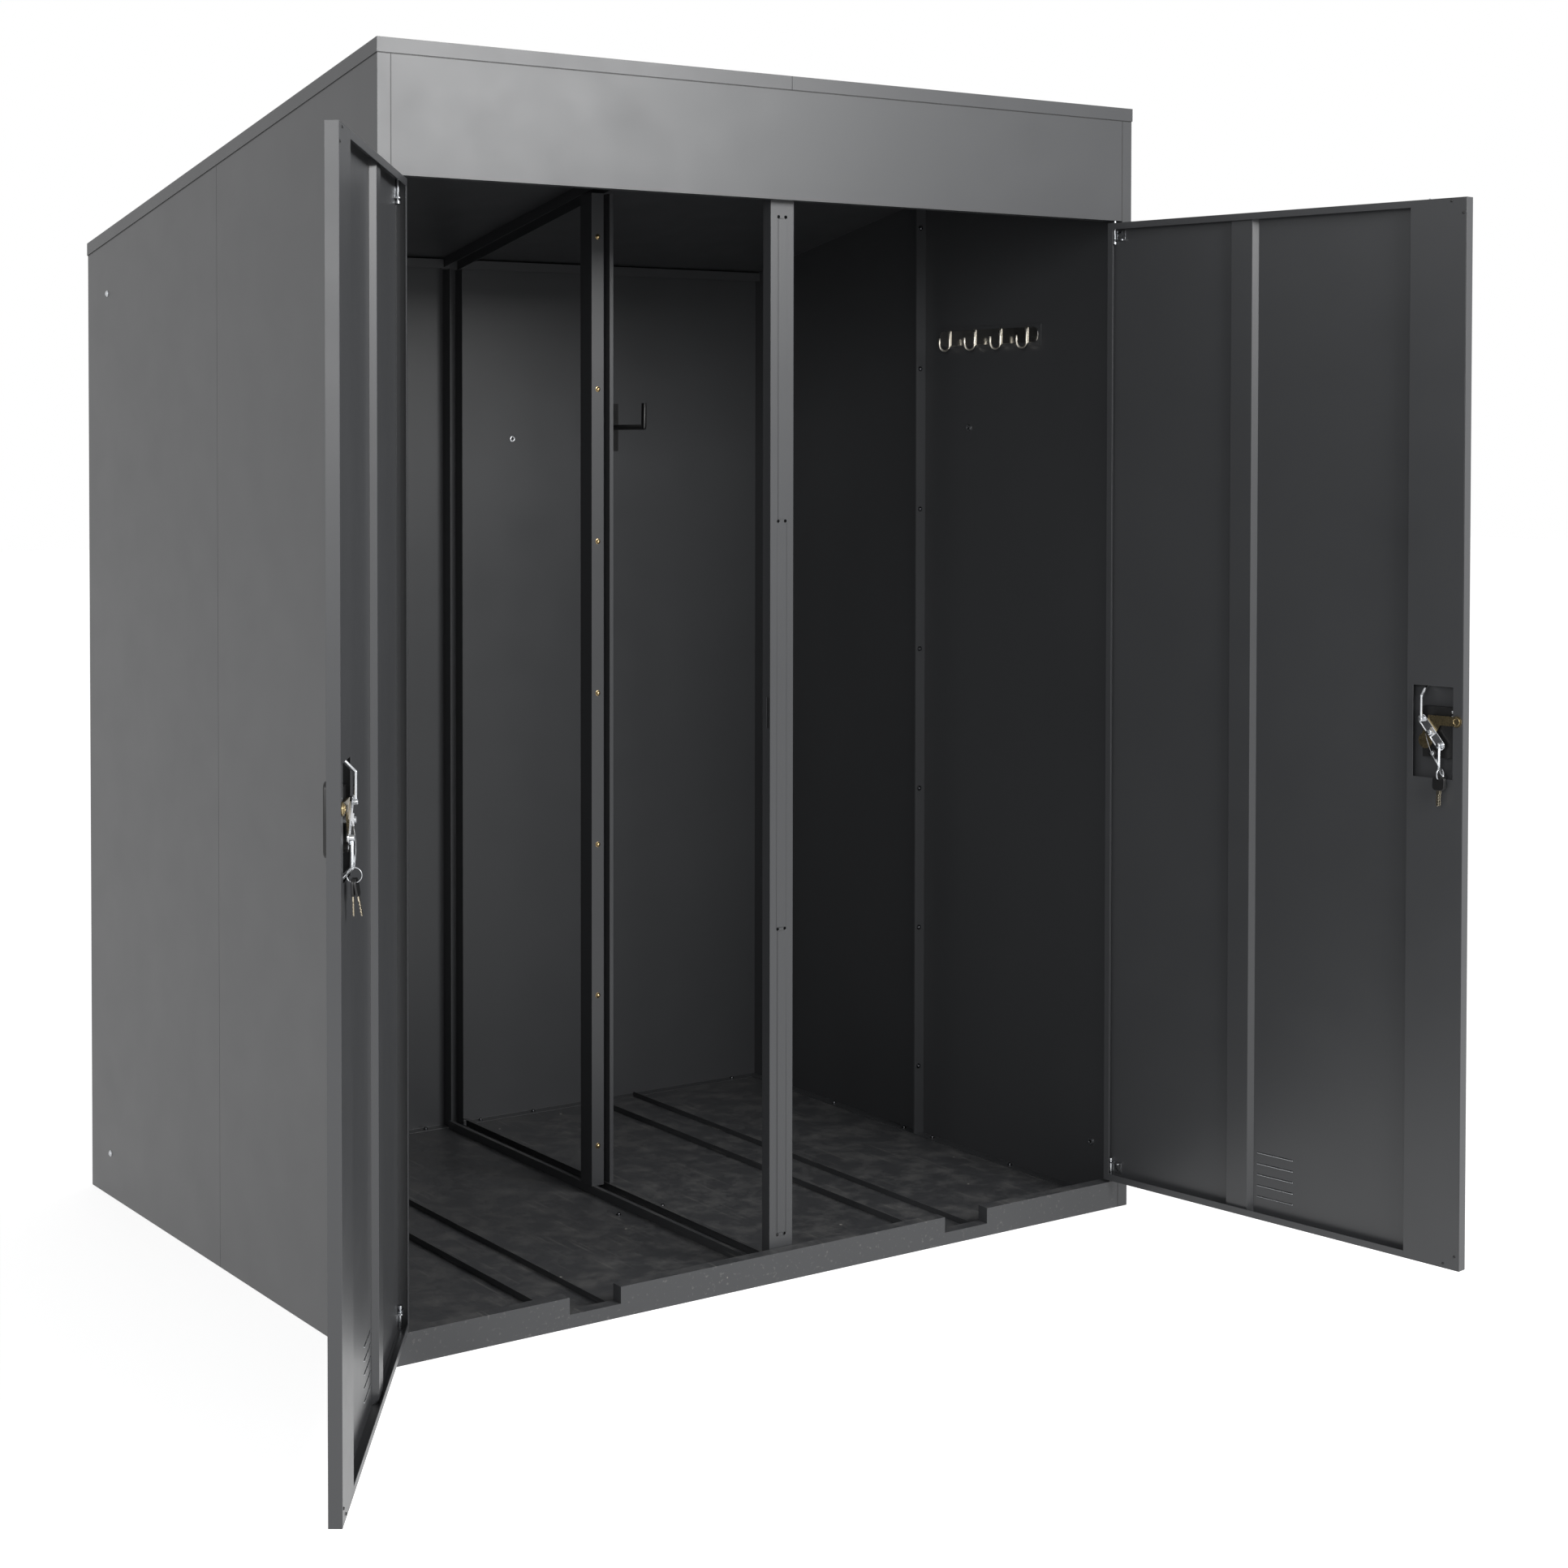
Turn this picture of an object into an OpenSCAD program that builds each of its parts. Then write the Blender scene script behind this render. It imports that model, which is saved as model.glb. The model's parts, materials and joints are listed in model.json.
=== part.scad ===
// Double bicycle locker in folded sheet steel: two bays side by side, a roof that falls to the rear,
// an open frame between the bays and one outward-opening door to each bay.
// Millimetres. X runs to the right, Y to the rear, Z up; the origin is on the ground, mid-footprint.

/* [Overall] */
// Width over the side walls
width = 1680; // [1500:10:1900]
// Depth from the front plane to the outside of the back wall
depth = 1310; // [1100:10:1500]
// Height of the roof at its front edge
front_height = 2210; // [2000:10:2400]
// Height of the roof at its rear edge
rear_height = 1950; // [1850:10:1990]

/* [Sheet] */
// Thickness of the wall, roof, frame and door sheet
sheet = 1.5; // [1:0.1:2.5]
// Thickness of the floor sheet
floor_sheet = 2; // [1.5:0.5:4]
// Open joint between two neighbouring panels
seam = 0.8; // [0.2:0.1:0.9]

/* [Walls and roof] */
// Width of the side wall's folded return at the front corner
corner_return = 24; // [18:1:26]
// Inward flanges at the wall joints and along the wall feet
wall_flange = 27; // [20:1:40]
// Depth of the roof's turned-down edge
roof_trim = 25; // [15:1:40]
// Inward rail along the top of the back wall
back_rail = 20; // [12:1:30]

/* [Front] */
// Height of the sill under the doors
sill_height = 54; // [40:1:80]
// Depth of the sill and of the fascia's lower return
sill_depth = 26; // [24:1:34]
// From the roof's front edge down to the top of the door opening
fascia_drop = 225; // [150:5:300]
// Height of the fascia's rear upstand
fascia_upstand = 20; // [10:1:40]
// Width of the wheel notch in the sill
notch_width = 105; // [70:1:130]
// Depth of the wheel notch in the sill
notch_depth = 30; // [15:1:36]

/* [Floor] */
// Width of the wheel channel
channel_width = 105; // [70:1:130]
// Height of the wheel channel's upstands
channel_height = 13; // [6:1:20]

/* [Centre frame] */
// Width of the front post's face
post_width = 52; // [40:1:70]
// Depth of the front post
post_depth = 24; // [16:1:40]
// Gap between the sill and the front post
post_setback = 3; // [2:0.5:8]
// Height of the latch slot in the front post's sides
post_slot_height = 57; // [30:1:80]
// Width of the latch slot
post_slot_width = 9; // [5:0.5:11]
// From the inside of the post's face to the latch slot
post_slot_inset = 1; // [0.5:0.5:3]
// Distance between the two holes of a pair in the front post
post_hole_spacing = 16; // [10:1:24]
// Diameter of the holes in the front post
post_hole_d = 6; // [4:0.5:8]
// Width of the floor track and the ceiling beam
track_width = 46; // [36:1:60]
// Height of the floor track
track_height = 18; // [10:1:30]
// Width of the track's turned-in lips
track_lip = 9; // [5:1:14]
// Height of the ceiling beam
beam_height = 22; // [15:1:40]
// Width of the middle post's bolted front web
mid_web = 29; // [20:1:40]
// Width of the middle post's groove
mid_groove = 14; // [8:1:20]
// Width of the middle post's front lip
mid_lip = 9; // [5:1:14]
// Depth of the middle post's side flange
mid_depth = 44; // [30:1:60]
// Depth of the middle post's groove
mid_groove_depth = 30; // [15:1:40]
// Width of the rear post
rear_post_width = 32; // [24:1:50]
// Depth of the rear post
rear_post_depth = 34; // [20:1:50]

/* [Fittings] */
// Length of the coat rail
coat_rail_length = 340; // [240:10:420]
// Height of the coat rail's plate
coat_rail_height = 45; // [30:1:60]
// Thickness of the coat rail's plate
coat_rail_t = 2; // [1:0.5:4]
// From the coat rail to the joint in the side wall
coat_rail_gap = 48; // [10:1:100]
// Height of the coat rail's middle above the ground
coat_rail_level = 1768; // [1500:1:1850]
// Number of coat hooks
coat_hooks = 4; // [2:1:6]
// Diameter of the coat hook's rod
coat_hook_d = 5; // [4:0.5:8]
// How far a coat hook stands out, rod middle to rod middle
coat_hook_reach = 28; // [18:1:36]
// Straight drop of a coat hook
coat_hook_drop = 26; // [15:1:40]
// Straight tip of a coat hook
coat_hook_tip = 12; // [5:1:20]
// Height of the wheel hook's middle above the ground
wheel_hook_level = 1575; // [1300:5:1700]
// How far the wheel hook reaches forward
wheel_hook_reach = 150; // [80:5:220]
// Diameter of the wheel hook's rod
wheel_hook_d = 12; // [8:1:16]
// Height of the wheel hook's upturned end
wheel_hook_tip = 55; // [30:1:80]
// Width of the wheel hook's plate
wheel_hook_plate_w = 50; // [30:1:80]
// Height of the wheel hook's plate
wheel_hook_plate_h = 110; // [60:1:150]
// Thickness of the wheel hook's plate
wheel_hook_plate_t = 3; // [2:0.5:6]

/* [Doors] */
// Thickness of a door
door_t = 20; // [18:1:22]
// Gap over and under a door
door_gap = 5; // [5:0.5:10]
// Gap between the corner return and a closed door's hinge edge
hinge_gap = 9.5; // [8:0.5:14]
// Gap between the two closed doors
meeting_gap = 8; // [6:0.5:14]
// Width of the lips folded round a door's inside
door_lip = 13; // [8:1:20]
// From a door's hinge edge to its pin
pin_inset = 6; // [5:0.5:8]
// From a door's outer face to its pin
pin_setback = 5; // [5:0.5:6]
// Diameter of the hinge pins
pin_d = 6; // [4:0.5:6]
// Length of the pins inside the door
pin_inside = 42; // [20:1:50]
// Length of the pins beyond the door
pin_outside = 15; // [10:1:20]
// Opening angle of the left door as shown
left_open_angle = 124; // [0:1:124]
// Opening angle of the right door as shown
right_open_angle = 99; // [0:1:124]
// From the hinge edge to the stiffening rib
rib_inset = 285; // [200:1:320]
// Width of the rib's flat crown
rib_crown = 48; // [30:1:80]
// Width of each sloping side of the rib
rib_slope = 8; // [8:1:20]
// Height of the rib over the door sheet
rib_height = 11; // [8:1:15]
// Number of louvre slots
louvres = 5; // [3:1:8]
// Length of a louvre slot
louvre_length = 80; // [50:1:100]
// Height of a louvre slot
louvre_height = 3; // [2:0.5:6]
// Distance between louvre slots
louvre_pitch = 21; // [16:1:30]
// From the hinge edge to the louvre slots
louvre_inset = 357; // [350:1:420]
// From the door's lower edge to the lowest slot
louvre_rise = 37; // [20:1:60]

/* [Locks] */
// Width of the lock channel along a door's free edge
lock_channel = 114; // [90:1:140]
// Width of the window in the lock channel
window_width = 81; // [75:1:85]
// Height of the window in the lock channel
window_height = 166; // [130:1:200]
// From the free edge to the middle of the lock
lock_inset = 61; // [57:1:61]
// Width of the lock case
case_width = 64; // [50:1:72]
// Height of the lock case
case_height = 92; // [70:1:110]
// Thickness of the lock case
case_t = 14; // [6:0.5:15]
// From the free edge to the middle of the lock case
case_inset = 52; // [48:1:60]
// Diameter of the spindle between the case and the cam
spindle_d = 10; // [6:0.5:11]
// Length of the cam between its rod ends
cam_length = 58; // [50:1:64]
// Width of the cam
cam_width = 16; // [12:1:18]
// Thickness of the cam
cam_t = 3; // [2:0.5:4]
// Side of the square nut on the cam
nut_side = 12; // [8:1:14]
// Height of the square nut
nut_t = 5; // [3:0.5:6]
// Diameter of the locking rods
rod_d = 6; // [4:0.5:7]
// From the middle of the lock to the bend in a rod
rod_bend = 64; // [50:1:64]
// How much wider a rod is at its bends
rod_swell = 0.4; // [0.2:0.1:1]
// How far the rod ends show beyond the door
rod_show = 2; // [0:0.5:3]
// Height of the latch's arm
latch_height = 17; // [12:1:18]
// Diameter of the latch's round nose
latch_nose_d = 20; // [19:1:24]
// Thickness of the latch
latch_t = 3; // [2:0.5:4]
// From the middle of the lock up to the middle of the latch's arm
latch_rise = 22; // [20:1:26]
// From the latch's nose to the free edge
latch_margin = 2; // [1:0.5:10]
// From the middle of the lock to the root of the latch's arm
latch_root = 8; // [4:1:12]
// Width of the latch's lower lobe
latch_lobe_d = 28; // [26:1:32]
// Lobe's place beside the middle of the lock
latch_lobe_aside = 13; // [10:1:14]
// Lobe's place below the middle of the lock
latch_lobe_drop = 16; // [12:1:20]
// Length of the band between the lobe and the arm
latch_band = 42; // [40:1:44]
// Width of the band between the lobe and the arm
latch_neck = 24; // [20:1:25]
// Width of the outside handle plate
handle_width = 34; // [24:1:50]
// Height of the outside handle plate
handle_height = 112; // [80:1:150]
// Thickness of the outside handle plate
handle_t = 3; // [2:0.5:5]
// Width of the handle's folding lever
lever_width = 20; // [14:1:22]
// Height of the lever above its plate
lever_t = 1.5; // [1:0.5:3]

/* [Hidden] */
// Curves are round at this resolution
$fn = 48;
// How far a cut runs past the face it opens
overrun = 5;
// Radial play of a pin or a rod in its hole
pin_play = 0.3;
// Clearance between the roof sheet and what stands under it
roof_fit = 0.1;
// Paint and metal colours
paint = "#55575b";
steel = "#b9bcc0";
brass_zinc = "#c4a24e";
black = "#1b1c1d";

// Places of the post's hole pairs and of the lock along their own heights
post_hole_shares = [0.012, 0.306, 0.696, 0.985];
lock_height_share = 0.502;
bay_centre_share = 0.25;
cam_angle = 129;
latch_lean = 63;

// Planes of the body
left = -width / 2;
front = -depth / 2;
rear = depth / 2;
back_inner = rear - sheet;
wall_inner = left + sheet;
bay_x = -width * bay_centre_share;

// The roof's slope and faces
slope = (rear_height - front_height) / depth;
roof_sheet = sheet * sqrt(1 + slope * slope);
function roof_top(y) = front_height + (y - front) * slope;
function roof_under(y) = roof_top(y) - roof_sheet - roof_fit;

// The front's openings
opening_top = front_height - fascia_drop;
front_left = left + corner_return + seam;
notch_floor = sill_height - notch_depth;
sill_rear = front + sill_depth;
flange_top = floor_sheet + sheet;

// The centre frame
post_front = sill_rear + post_setback;
post_back = post_front + post_depth;
post_top = roof_under(post_back);
post_length = post_top - floor_sheet;
mid_width = mid_web + mid_groove + mid_lip;
rear_post_front = back_inner - rear_post_depth;

// The coat rail ends short of the wall joint
coat_rail_start = -coat_rail_gap - coat_rail_length;

// The doors, closed
hinge_edge = left + corner_return + hinge_gap;
free_edge = -meeting_gap / 2;
door_width = free_edge - hinge_edge;
door_low = sill_height + door_gap;
door_high = opening_top - door_gap;
door_inner = front + door_t;
skin_inner = front + sheet;
pin_x = hinge_edge + pin_inset;
pin_y = front + pin_setback;

// The lock
lock_x = free_edge - lock_inset;
lock_z = door_low + (door_high - door_low) * lock_height_share;
channel_x = free_edge - lock_channel;
case_x = free_edge - case_inset;
case_face = skin_inner + case_t;
latch_face = door_inner + latch_t;
cam_face = latch_face + cam_t;
rod_aside = -cam_length / 2 * cos(cam_angle);
rod_rise = cam_length / 2 * sin(cam_angle);
rod_inside = cam_face + rod_d / 2;
rod_hidden = (skin_inner + door_inner - sheet) / 2;

// A block between two opposite corners
module block(low, high) {
    translate(low) cube(high - low);
}

// A side outline in depth and height, made solid from one width to another
module across(points, from_x, to_x) {
    translate([from_x, 0, 0])
        rotate([90, 0, 90])
            linear_extrude(to_x - from_x)
                polygon(points);
}

// The same piece on the right-hand side
module right_hand() {
    mirror([1, 0, 0]) children();
}

// A closed left door swung open about its pins
module swung(angle) {
    translate([pin_x, pin_y, 0])
        rotate([0, 0, -angle])
            translate([-pin_x, -pin_y, 0])
                children();
}

// A strip under the roof whose lower edge is level or follows the roof
function under_roof(y0, y1, low0, low1) = [
    [y0, low0], [y1, low1], [y1, roof_under(y1)], [y0, roof_under(y0)]
];

// Side walls

module wall_front() {
    joint = -seam / 2;
    color(paint) {
        across(under_roof(front, joint, 0, 0), left, wall_inner);
        block([left, front, 0], [left + corner_return, skin_inner, roof_under(skin_inner)]);
        block([left, joint - sheet, floor_sheet], [left + wall_flange, joint, roof_under(joint)]);
        block([left, sill_rear + seam, floor_sheet], [left + wall_flange, joint, flange_top]);
    }
}

module wall_rear() {
    joint = seam / 2;
    color(paint) {
        across(under_roof(joint, back_inner, 0, 0), left, wall_inner);
        block([left, joint, floor_sheet], [left + wall_flange, joint + sheet, roof_under(joint + sheet)]);
        block([left, joint, floor_sheet], [left + wall_flange, back_inner - wall_flange - seam, flange_top]);
    }
}

module left_wall_front() { wall_front(); }
module left_wall_rear() { wall_rear(); }
module right_wall_front() { right_hand() wall_front(); }
module right_wall_rear() { right_hand() wall_rear(); }

// Back wall: a sheet with a foot flange and a rail along its top

module back_wall() {
    top = roof_under(rear);
    color(paint) {
        block([left, back_inner, 0], [-seam / 2, rear, top]);
        block([wall_inner, back_inner - wall_flange, floor_sheet], [-seam / 2, rear, flange_top]);
        block([wall_inner + seam, back_inner - back_rail, top - sheet], [-track_width / 2 - seam, rear, top]);
        block([wall_inner + seam, back_inner - back_rail, top - back_rail],
              [-track_width / 2 - seam, back_inner - back_rail + sheet, top]);
    }
}

module back_wall_left() { back_wall(); }
module back_wall_right() { right_hand() back_wall(); }

// Roof half: a sloping sheet with its edges turned down outside the walls

module roof_half() {
    eave = left - sheet;
    low_front = front - sheet;
    low_rear = rear + sheet;
    color(paint) {
        across([[low_front, roof_top(low_front) - roof_sheet], [low_rear, roof_top(low_rear) - roof_sheet],
                [low_rear, roof_top(low_rear)], [low_front, roof_top(low_front)]], eave, -seam / 2);
        across([[low_front, roof_top(low_front) - roof_trim], [low_rear, roof_top(low_rear) - roof_trim],
                [low_rear, roof_top(low_rear)], [low_front, roof_top(low_front)]], eave, left);
        across([[low_front, roof_top(low_front) - roof_trim], [front, roof_top(low_front) - roof_trim],
                [front, roof_top(front)], [low_front, roof_top(low_front)]], eave, -seam / 2);
        across([[rear, roof_top(low_rear) - roof_trim], [low_rear, roof_top(low_rear) - roof_trim],
                [low_rear, roof_top(low_rear)], [rear, roof_top(rear)]], eave, -seam / 2);
    }
}

module roof_left() { roof_half(); }
module roof_right() { right_hand() roof_half(); }

// Holes for both doors' hinge pins, cut through a level sheet

module pin_holes(low, high) {
    for (x = [pin_x, -pin_x])
        translate([x, pin_y, low - overrun])
            cylinder(d = pin_d + 2 * pin_play, h = high - low + 2 * overrun);
}

// Fascia over the doors, turned in along its lower edge

module fascia() {
    color(paint)
        difference() {
            union() {
                block([front_left, front, opening_top], [-front_left, skin_inner, roof_under(skin_inner)]);
                block([front_left, front, opening_top], [-front_left, sill_rear, opening_top + sheet]);
                block([front_left, sill_rear - sheet, opening_top],
                      [-front_left, sill_rear, opening_top + fascia_upstand]);
            }
            pin_holes(opening_top, opening_top + sheet);
        }
}

// Sill under the doors: a hollow section with a notch for each wheel

module sill_hollow(from_x, to_x, low, high) {
    block([from_x, skin_inner, low], [to_x, sill_rear - sheet, high]);
}

module front_sill() {
    half_notch = notch_width / 2;
    hollow_top = sill_height - sheet;
    color(paint)
        difference() {
            block([front_left, front, 0], [-front_left, sill_rear, sill_height]);
            for (x = [bay_x, -bay_x])
                block([x - half_notch, front - overrun, notch_floor],
                      [x + half_notch, sill_rear + overrun, sill_height + overrun]);
            sill_hollow(front_left - overrun, -front_left + overrun, sheet, notch_floor - sheet);
            sill_hollow(front_left - overrun, bay_x - half_notch - sheet, sheet, hollow_top);
            sill_hollow(bay_x + half_notch + sheet, -bay_x - half_notch - sheet, sheet, hollow_top);
            sill_hollow(half_notch + sheet - bay_x, -front_left + overrun, sheet, hollow_top);
            pin_holes(sill_height - sheet, sill_height);
        }
}

// Floor sheets and wheel channels

// The two sheets meet under one side of the floor track
module floor_part(from_x, to_x) {
    color(paint)
        block([from_x, sill_rear, 0], [to_x, back_inner, floor_sheet]);
}

module left_floor() { floor_part(wall_inner, track_width / 2 - track_lip); }
module right_floor() { floor_part(track_width / 2 - track_lip + seam, -wall_inner); }

module wheel_channel() {
    half = channel_width / 2;
    start = sill_rear + seam;
    end = back_inner - wall_flange - seam;
    color(paint) {
        block([bay_x - half, start, floor_sheet], [bay_x + half, end, flange_top]);
        for (x = [bay_x - half, bay_x + half - sheet])
            block([x, start, floor_sheet], [x + sheet, end, floor_sheet + channel_height]);
    }
}

module left_wheel_channel() { wheel_channel(); }
module right_wheel_channel() { right_hand() wheel_channel(); }

// Centre frame

module center_post() {
    half = post_width / 2;
    slot_y = post_front + sheet + post_slot_inset;
    slot_z = lock_z + latch_rise;
    color(paint)
        difference() {
            union() {
                block([-half, post_front, floor_sheet], [half, post_front + sheet, post_top]);
                for (x = [-half, half - sheet])
                    block([x, post_front, floor_sheet], [x + sheet, post_back, post_top]);
            }
            block([-half - overrun, slot_y, slot_z - post_slot_height / 2],
                  [half + overrun, slot_y + post_slot_width, slot_z + post_slot_height / 2]);
            for (share = post_hole_shares, side = [-1, 1])
                translate([side * post_hole_spacing / 2, post_front - overrun,
                           sill_height + (opening_top - sill_height) * share])
                    rotate([-90, 0, 0])
                        cylinder(d = post_hole_d, h = sheet + 2 * overrun);
        }
}

// One bent sheet behind the wall joints: side flange, bolted web, groove and lip
module mid_post() {
    x0 = -mid_width / 2;
    x1 = x0 + mid_web;
    x2 = x1 + mid_groove;
    x3 = x2 + mid_lip;
    y0 = seam / 2;
    groove_back = y0 + mid_groove_depth;
    low = floor_sheet + track_height;
    high = roof_under(y0 + mid_depth) - beam_height;
    color(paint) {
        block([x0, y0, low], [x0 + sheet, y0 + mid_depth, high]);
        block([x0, y0, low], [x1, y0 + sheet, high]);
        block([x1 - sheet, y0, low], [x1, groove_back, high]);
        block([x1 - sheet, groove_back - sheet, low], [x2 + sheet, groove_back, high]);
        block([x2, y0, low], [x2 + sheet, groove_back, high]);
        block([x2, y0, low], [x3, y0 + sheet, high]);
    }
}

module rear_post() {
    half = rear_post_width / 2;
    high = roof_under(rear_post_front) - beam_height;
    top = min(high, roof_under(rear) - beam_height);
    color(paint) {
        block([-half, back_inner - sheet, flange_top], [half, back_inner, top]);
        for (x = [-half, half - sheet])
            block([x, rear_post_front, flange_top], [x + sheet, back_inner, top]);
    }
}

module floor_track() {
    half = track_width / 2;
    end = rear_post_front - seam;
    top = floor_sheet + track_height;
    color(paint) {
        block([-half, post_back, floor_sheet], [half, end, flange_top]);
        for (side = [0, 1])
            mirror([side, 0, 0]) {
                block([-half, post_back, floor_sheet], [-half + sheet, end, top]);
                block([-half, post_back, top - sheet], [-half + track_lip, end, top]);
            }
    }
}

module ceiling_beam() {
    half = track_width / 2;
    end = back_inner;
    under0 = roof_under(post_back);
    under1 = roof_under(end);
    color(paint) {
        across([[post_back, under0 - sheet], [end, under1 - sheet], [end, under1], [post_back, under0]],
               -half, half);
        for (x = [-half, half - sheet])
            across(under_roof(post_back, end, under0 - beam_height, under1 - beam_height), x, x + sheet);
    }
}

// Fittings in each bay

module coat_rail() {
    color(paint)
        block([wall_inner, coat_rail_start, coat_rail_level - coat_rail_height / 2],
              [wall_inner + coat_rail_t, -coat_rail_gap, coat_rail_level + coat_rail_height / 2]);
}

module left_coat_rail() { coat_rail(); }
module right_coat_rail() { right_hand() coat_rail(); }

// A hook bent from round rod, flat against the rail
module coat_hook() {
    bend = coat_hook_reach / 2;
    rotate([90, 0, 0])
        rotate([0, 0, 180])
            rotate_extrude(angle = 180)
                translate([bend, 0]) circle(d = coat_hook_d);
    translate([-bend, 0, 0]) cylinder(d = coat_hook_d, h = coat_hook_drop);
    translate([bend, 0, 0]) cylinder(d = coat_hook_d, h = coat_hook_tip);
}

module coat_hook_row() {
    step = coat_rail_length / coat_hooks;
    color(steel)
        for (i = [0 : coat_hooks - 1])
            translate([wall_inner + coat_rail_t + coat_hook_d / 2 + coat_hook_reach / 2,
                       coat_rail_start + step * (i + 1 / 2),
                       coat_rail_level - coat_hook_drop / 2])
                coat_hook();
}

module left_coat_hooks() { coat_hook_row(); }
module right_coat_hooks() { right_hand() coat_hook_row(); }

module wheel_hook() {
    plate_face = back_inner - wheel_hook_plate_t;
    tip_y = plate_face - wheel_hook_reach;
    color(black)
        translate([bay_x, 0, wheel_hook_level]) {
            block([-wheel_hook_plate_w / 2, plate_face, -wheel_hook_plate_h / 2],
                  [wheel_hook_plate_w / 2, back_inner, wheel_hook_plate_h / 2]);
            translate([0, tip_y, 0])
                rotate([-90, 0, 0]) cylinder(d = wheel_hook_d, h = wheel_hook_reach);
            translate([0, tip_y, 0]) sphere(d = wheel_hook_d);
            translate([0, tip_y, 0]) cylinder(d = wheel_hook_d, h = wheel_hook_tip);
        }
}

module left_wheel_hook() { wheel_hook(); }
module right_wheel_hook() { right_hand() wheel_hook(); }

// Doors, modelled closed on the left-hand side

module door_panel() {
    lip_end = channel_x;
    color(paint)
        difference() {
            block([hinge_edge, front, door_low], [free_edge, door_inner, door_high]);
            block([hinge_edge + sheet, skin_inner, door_low + sheet],
                  [free_edge - sheet, door_inner - sheet, door_high - sheet]);
            block([hinge_edge + door_lip, skin_inner, door_low + door_lip],
                  [lip_end, door_inner + overrun, door_high - door_lip]);
            block([lip_end, skin_inner, door_low + sheet],
                  [free_edge - sheet, door_inner + overrun, door_high - sheet]);
            for (i = [0 : louvres - 1])
                translate([hinge_edge + louvre_inset, front - overrun, door_low + louvre_rise + i * louvre_pitch])
                    cube([louvre_length, sheet + 2 * overrun, louvre_height]);
            translate([pin_x, pin_y, door_low - overrun])
                cylinder(d = pin_d, h = door_high - door_low + 2 * overrun);
            for (end = [[-rod_aside, door_high - sheet], [rod_aside, door_low]])
                translate([lock_x + end[0], rod_hidden, end[1] - overrun])
                    cylinder(d = rod_d + 2 * pin_play, h = sheet + 2 * overrun);
        }
}

// A hat-shaped stiffener from flange to flange
module door_rib() {
    base = rib_crown + 2 * rib_slope;
    color(paint)
        translate([hinge_edge + rib_inset, skin_inner, door_low + sheet])
            linear_extrude(door_high - door_low - 2 * sheet)
                difference() {
                    polygon([[0, 0], [rib_slope, rib_height], [base - rib_slope, rib_height], [base, 0]]);
                    polygon([[2 * sheet, 0], [rib_slope + sheet, rib_height - sheet],
                             [base - rib_slope - sheet, rib_height - sheet], [base - 2 * sheet, 0]]);
                }
}

module lock_channel_piece() {
    low = door_low + sheet;
    high = door_high - sheet;
    window_low = lock_z - window_height / 2;
    color(paint)
        difference() {
            union() {
                block([channel_x, door_inner - sheet, low], [free_edge - sheet, door_inner, high]);
                block([channel_x, skin_inner, low], [channel_x + sheet, door_inner, high]);
            }
            block([lock_x - window_width / 2, door_inner - sheet - overrun, window_low],
                  [lock_x + window_width / 2, door_inner + overrun, window_low + window_height]);
        }
}

module hinge_pins() {
    length = pin_inside + pin_outside;
    color(steel)
        for (low = [door_low - pin_outside, door_high - pin_inside])
            translate([pin_x, pin_y, low])
                cylinder(d = pin_d, h = length);
}

module lock_case() {
    color(black)
        block([case_x - case_width / 2, skin_inner, lock_z - case_height / 2],
              [case_x + case_width / 2, case_face, lock_z + case_height / 2]);
}

// A spindle that carries a bar with round ends and a square nut
module lock_cam() {
    color(steel)
        translate([lock_x, latch_face, lock_z]) {
            translate([0, case_face - latch_face, 0])
                rotate([-90, 0, 0]) cylinder(d = spindle_d, h = latch_face - case_face + cam_t);
            rotate([0, -cam_angle, 0]) {
                block([-cam_length / 2, 0, -cam_width / 2], [cam_length / 2, cam_t, cam_width / 2]);
                for (x = [-cam_length / 2, cam_length / 2])
                    translate([x, 0, 0])
                        rotate([-90, 0, 0]) cylinder(d = cam_width, h = cam_t);
                block([-nut_side / 2, 0, -nut_side / 2], [nut_side / 2, cam_t + nut_t, nut_side / 2]);
            }
        }
}

// The upper rod from its cam end: straight, bent into the channel, then up to the door's edge.
// The lower rod is the same, turned half a turn about the lock's middle.
module lock_rod(reach) {
    window_edge = window_height / 2;
    depth_step = rod_inside - rod_hidden;
    rise_step = window_edge - rod_bend;
    lean = atan2(depth_step, rise_step);
    translate([-rod_aside, rod_inside, 0]) {
        translate([0, 0, rod_rise]) cylinder(d = rod_d, h = rod_bend - rod_rise);
        translate([0, 0, rod_bend]) {
            sphere(d = rod_d + rod_swell);
            rotate([lean, 0, 0]) cylinder(d = rod_d, h = norm([depth_step, rise_step]));
        }
        translate([0, -depth_step, window_edge]) {
            sphere(d = rod_d + rod_swell);
            cylinder(d = rod_d, h = reach - window_edge + rod_show);
        }
    }
}

module lock_rods() {
    color(steel)
        translate([lock_x, 0, lock_z]) {
            lock_rod(door_high - lock_z);
            rotate([0, 180, 0]) lock_rod(lock_z - door_low);
        }
}

// A flat bell crank on the spindle, with a round nose towards the free edge
module latch() {
    nose = free_edge - latch_margin - latch_nose_d / 2 - lock_x;
    color(brass_zinc)
        translate([lock_x, latch_face, lock_z])
            rotate([90, 0, 0])
                linear_extrude(latch_t)
                    difference() {
                        union() {
                            translate([-latch_root, latch_rise - latch_height / 2])
                                square([nose + latch_root, latch_height]);
                            translate([nose, latch_rise]) circle(d = latch_nose_d);
                            translate([-latch_lobe_aside, -latch_lobe_drop]) {
                                circle(d = latch_lobe_d);
                                rotate(latch_lean)
                                    translate([0, -latch_neck / 2]) square([latch_band, latch_neck]);
                            }
                        }
                        circle(d = spindle_d + 2 * pin_play);
                    }
}

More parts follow.
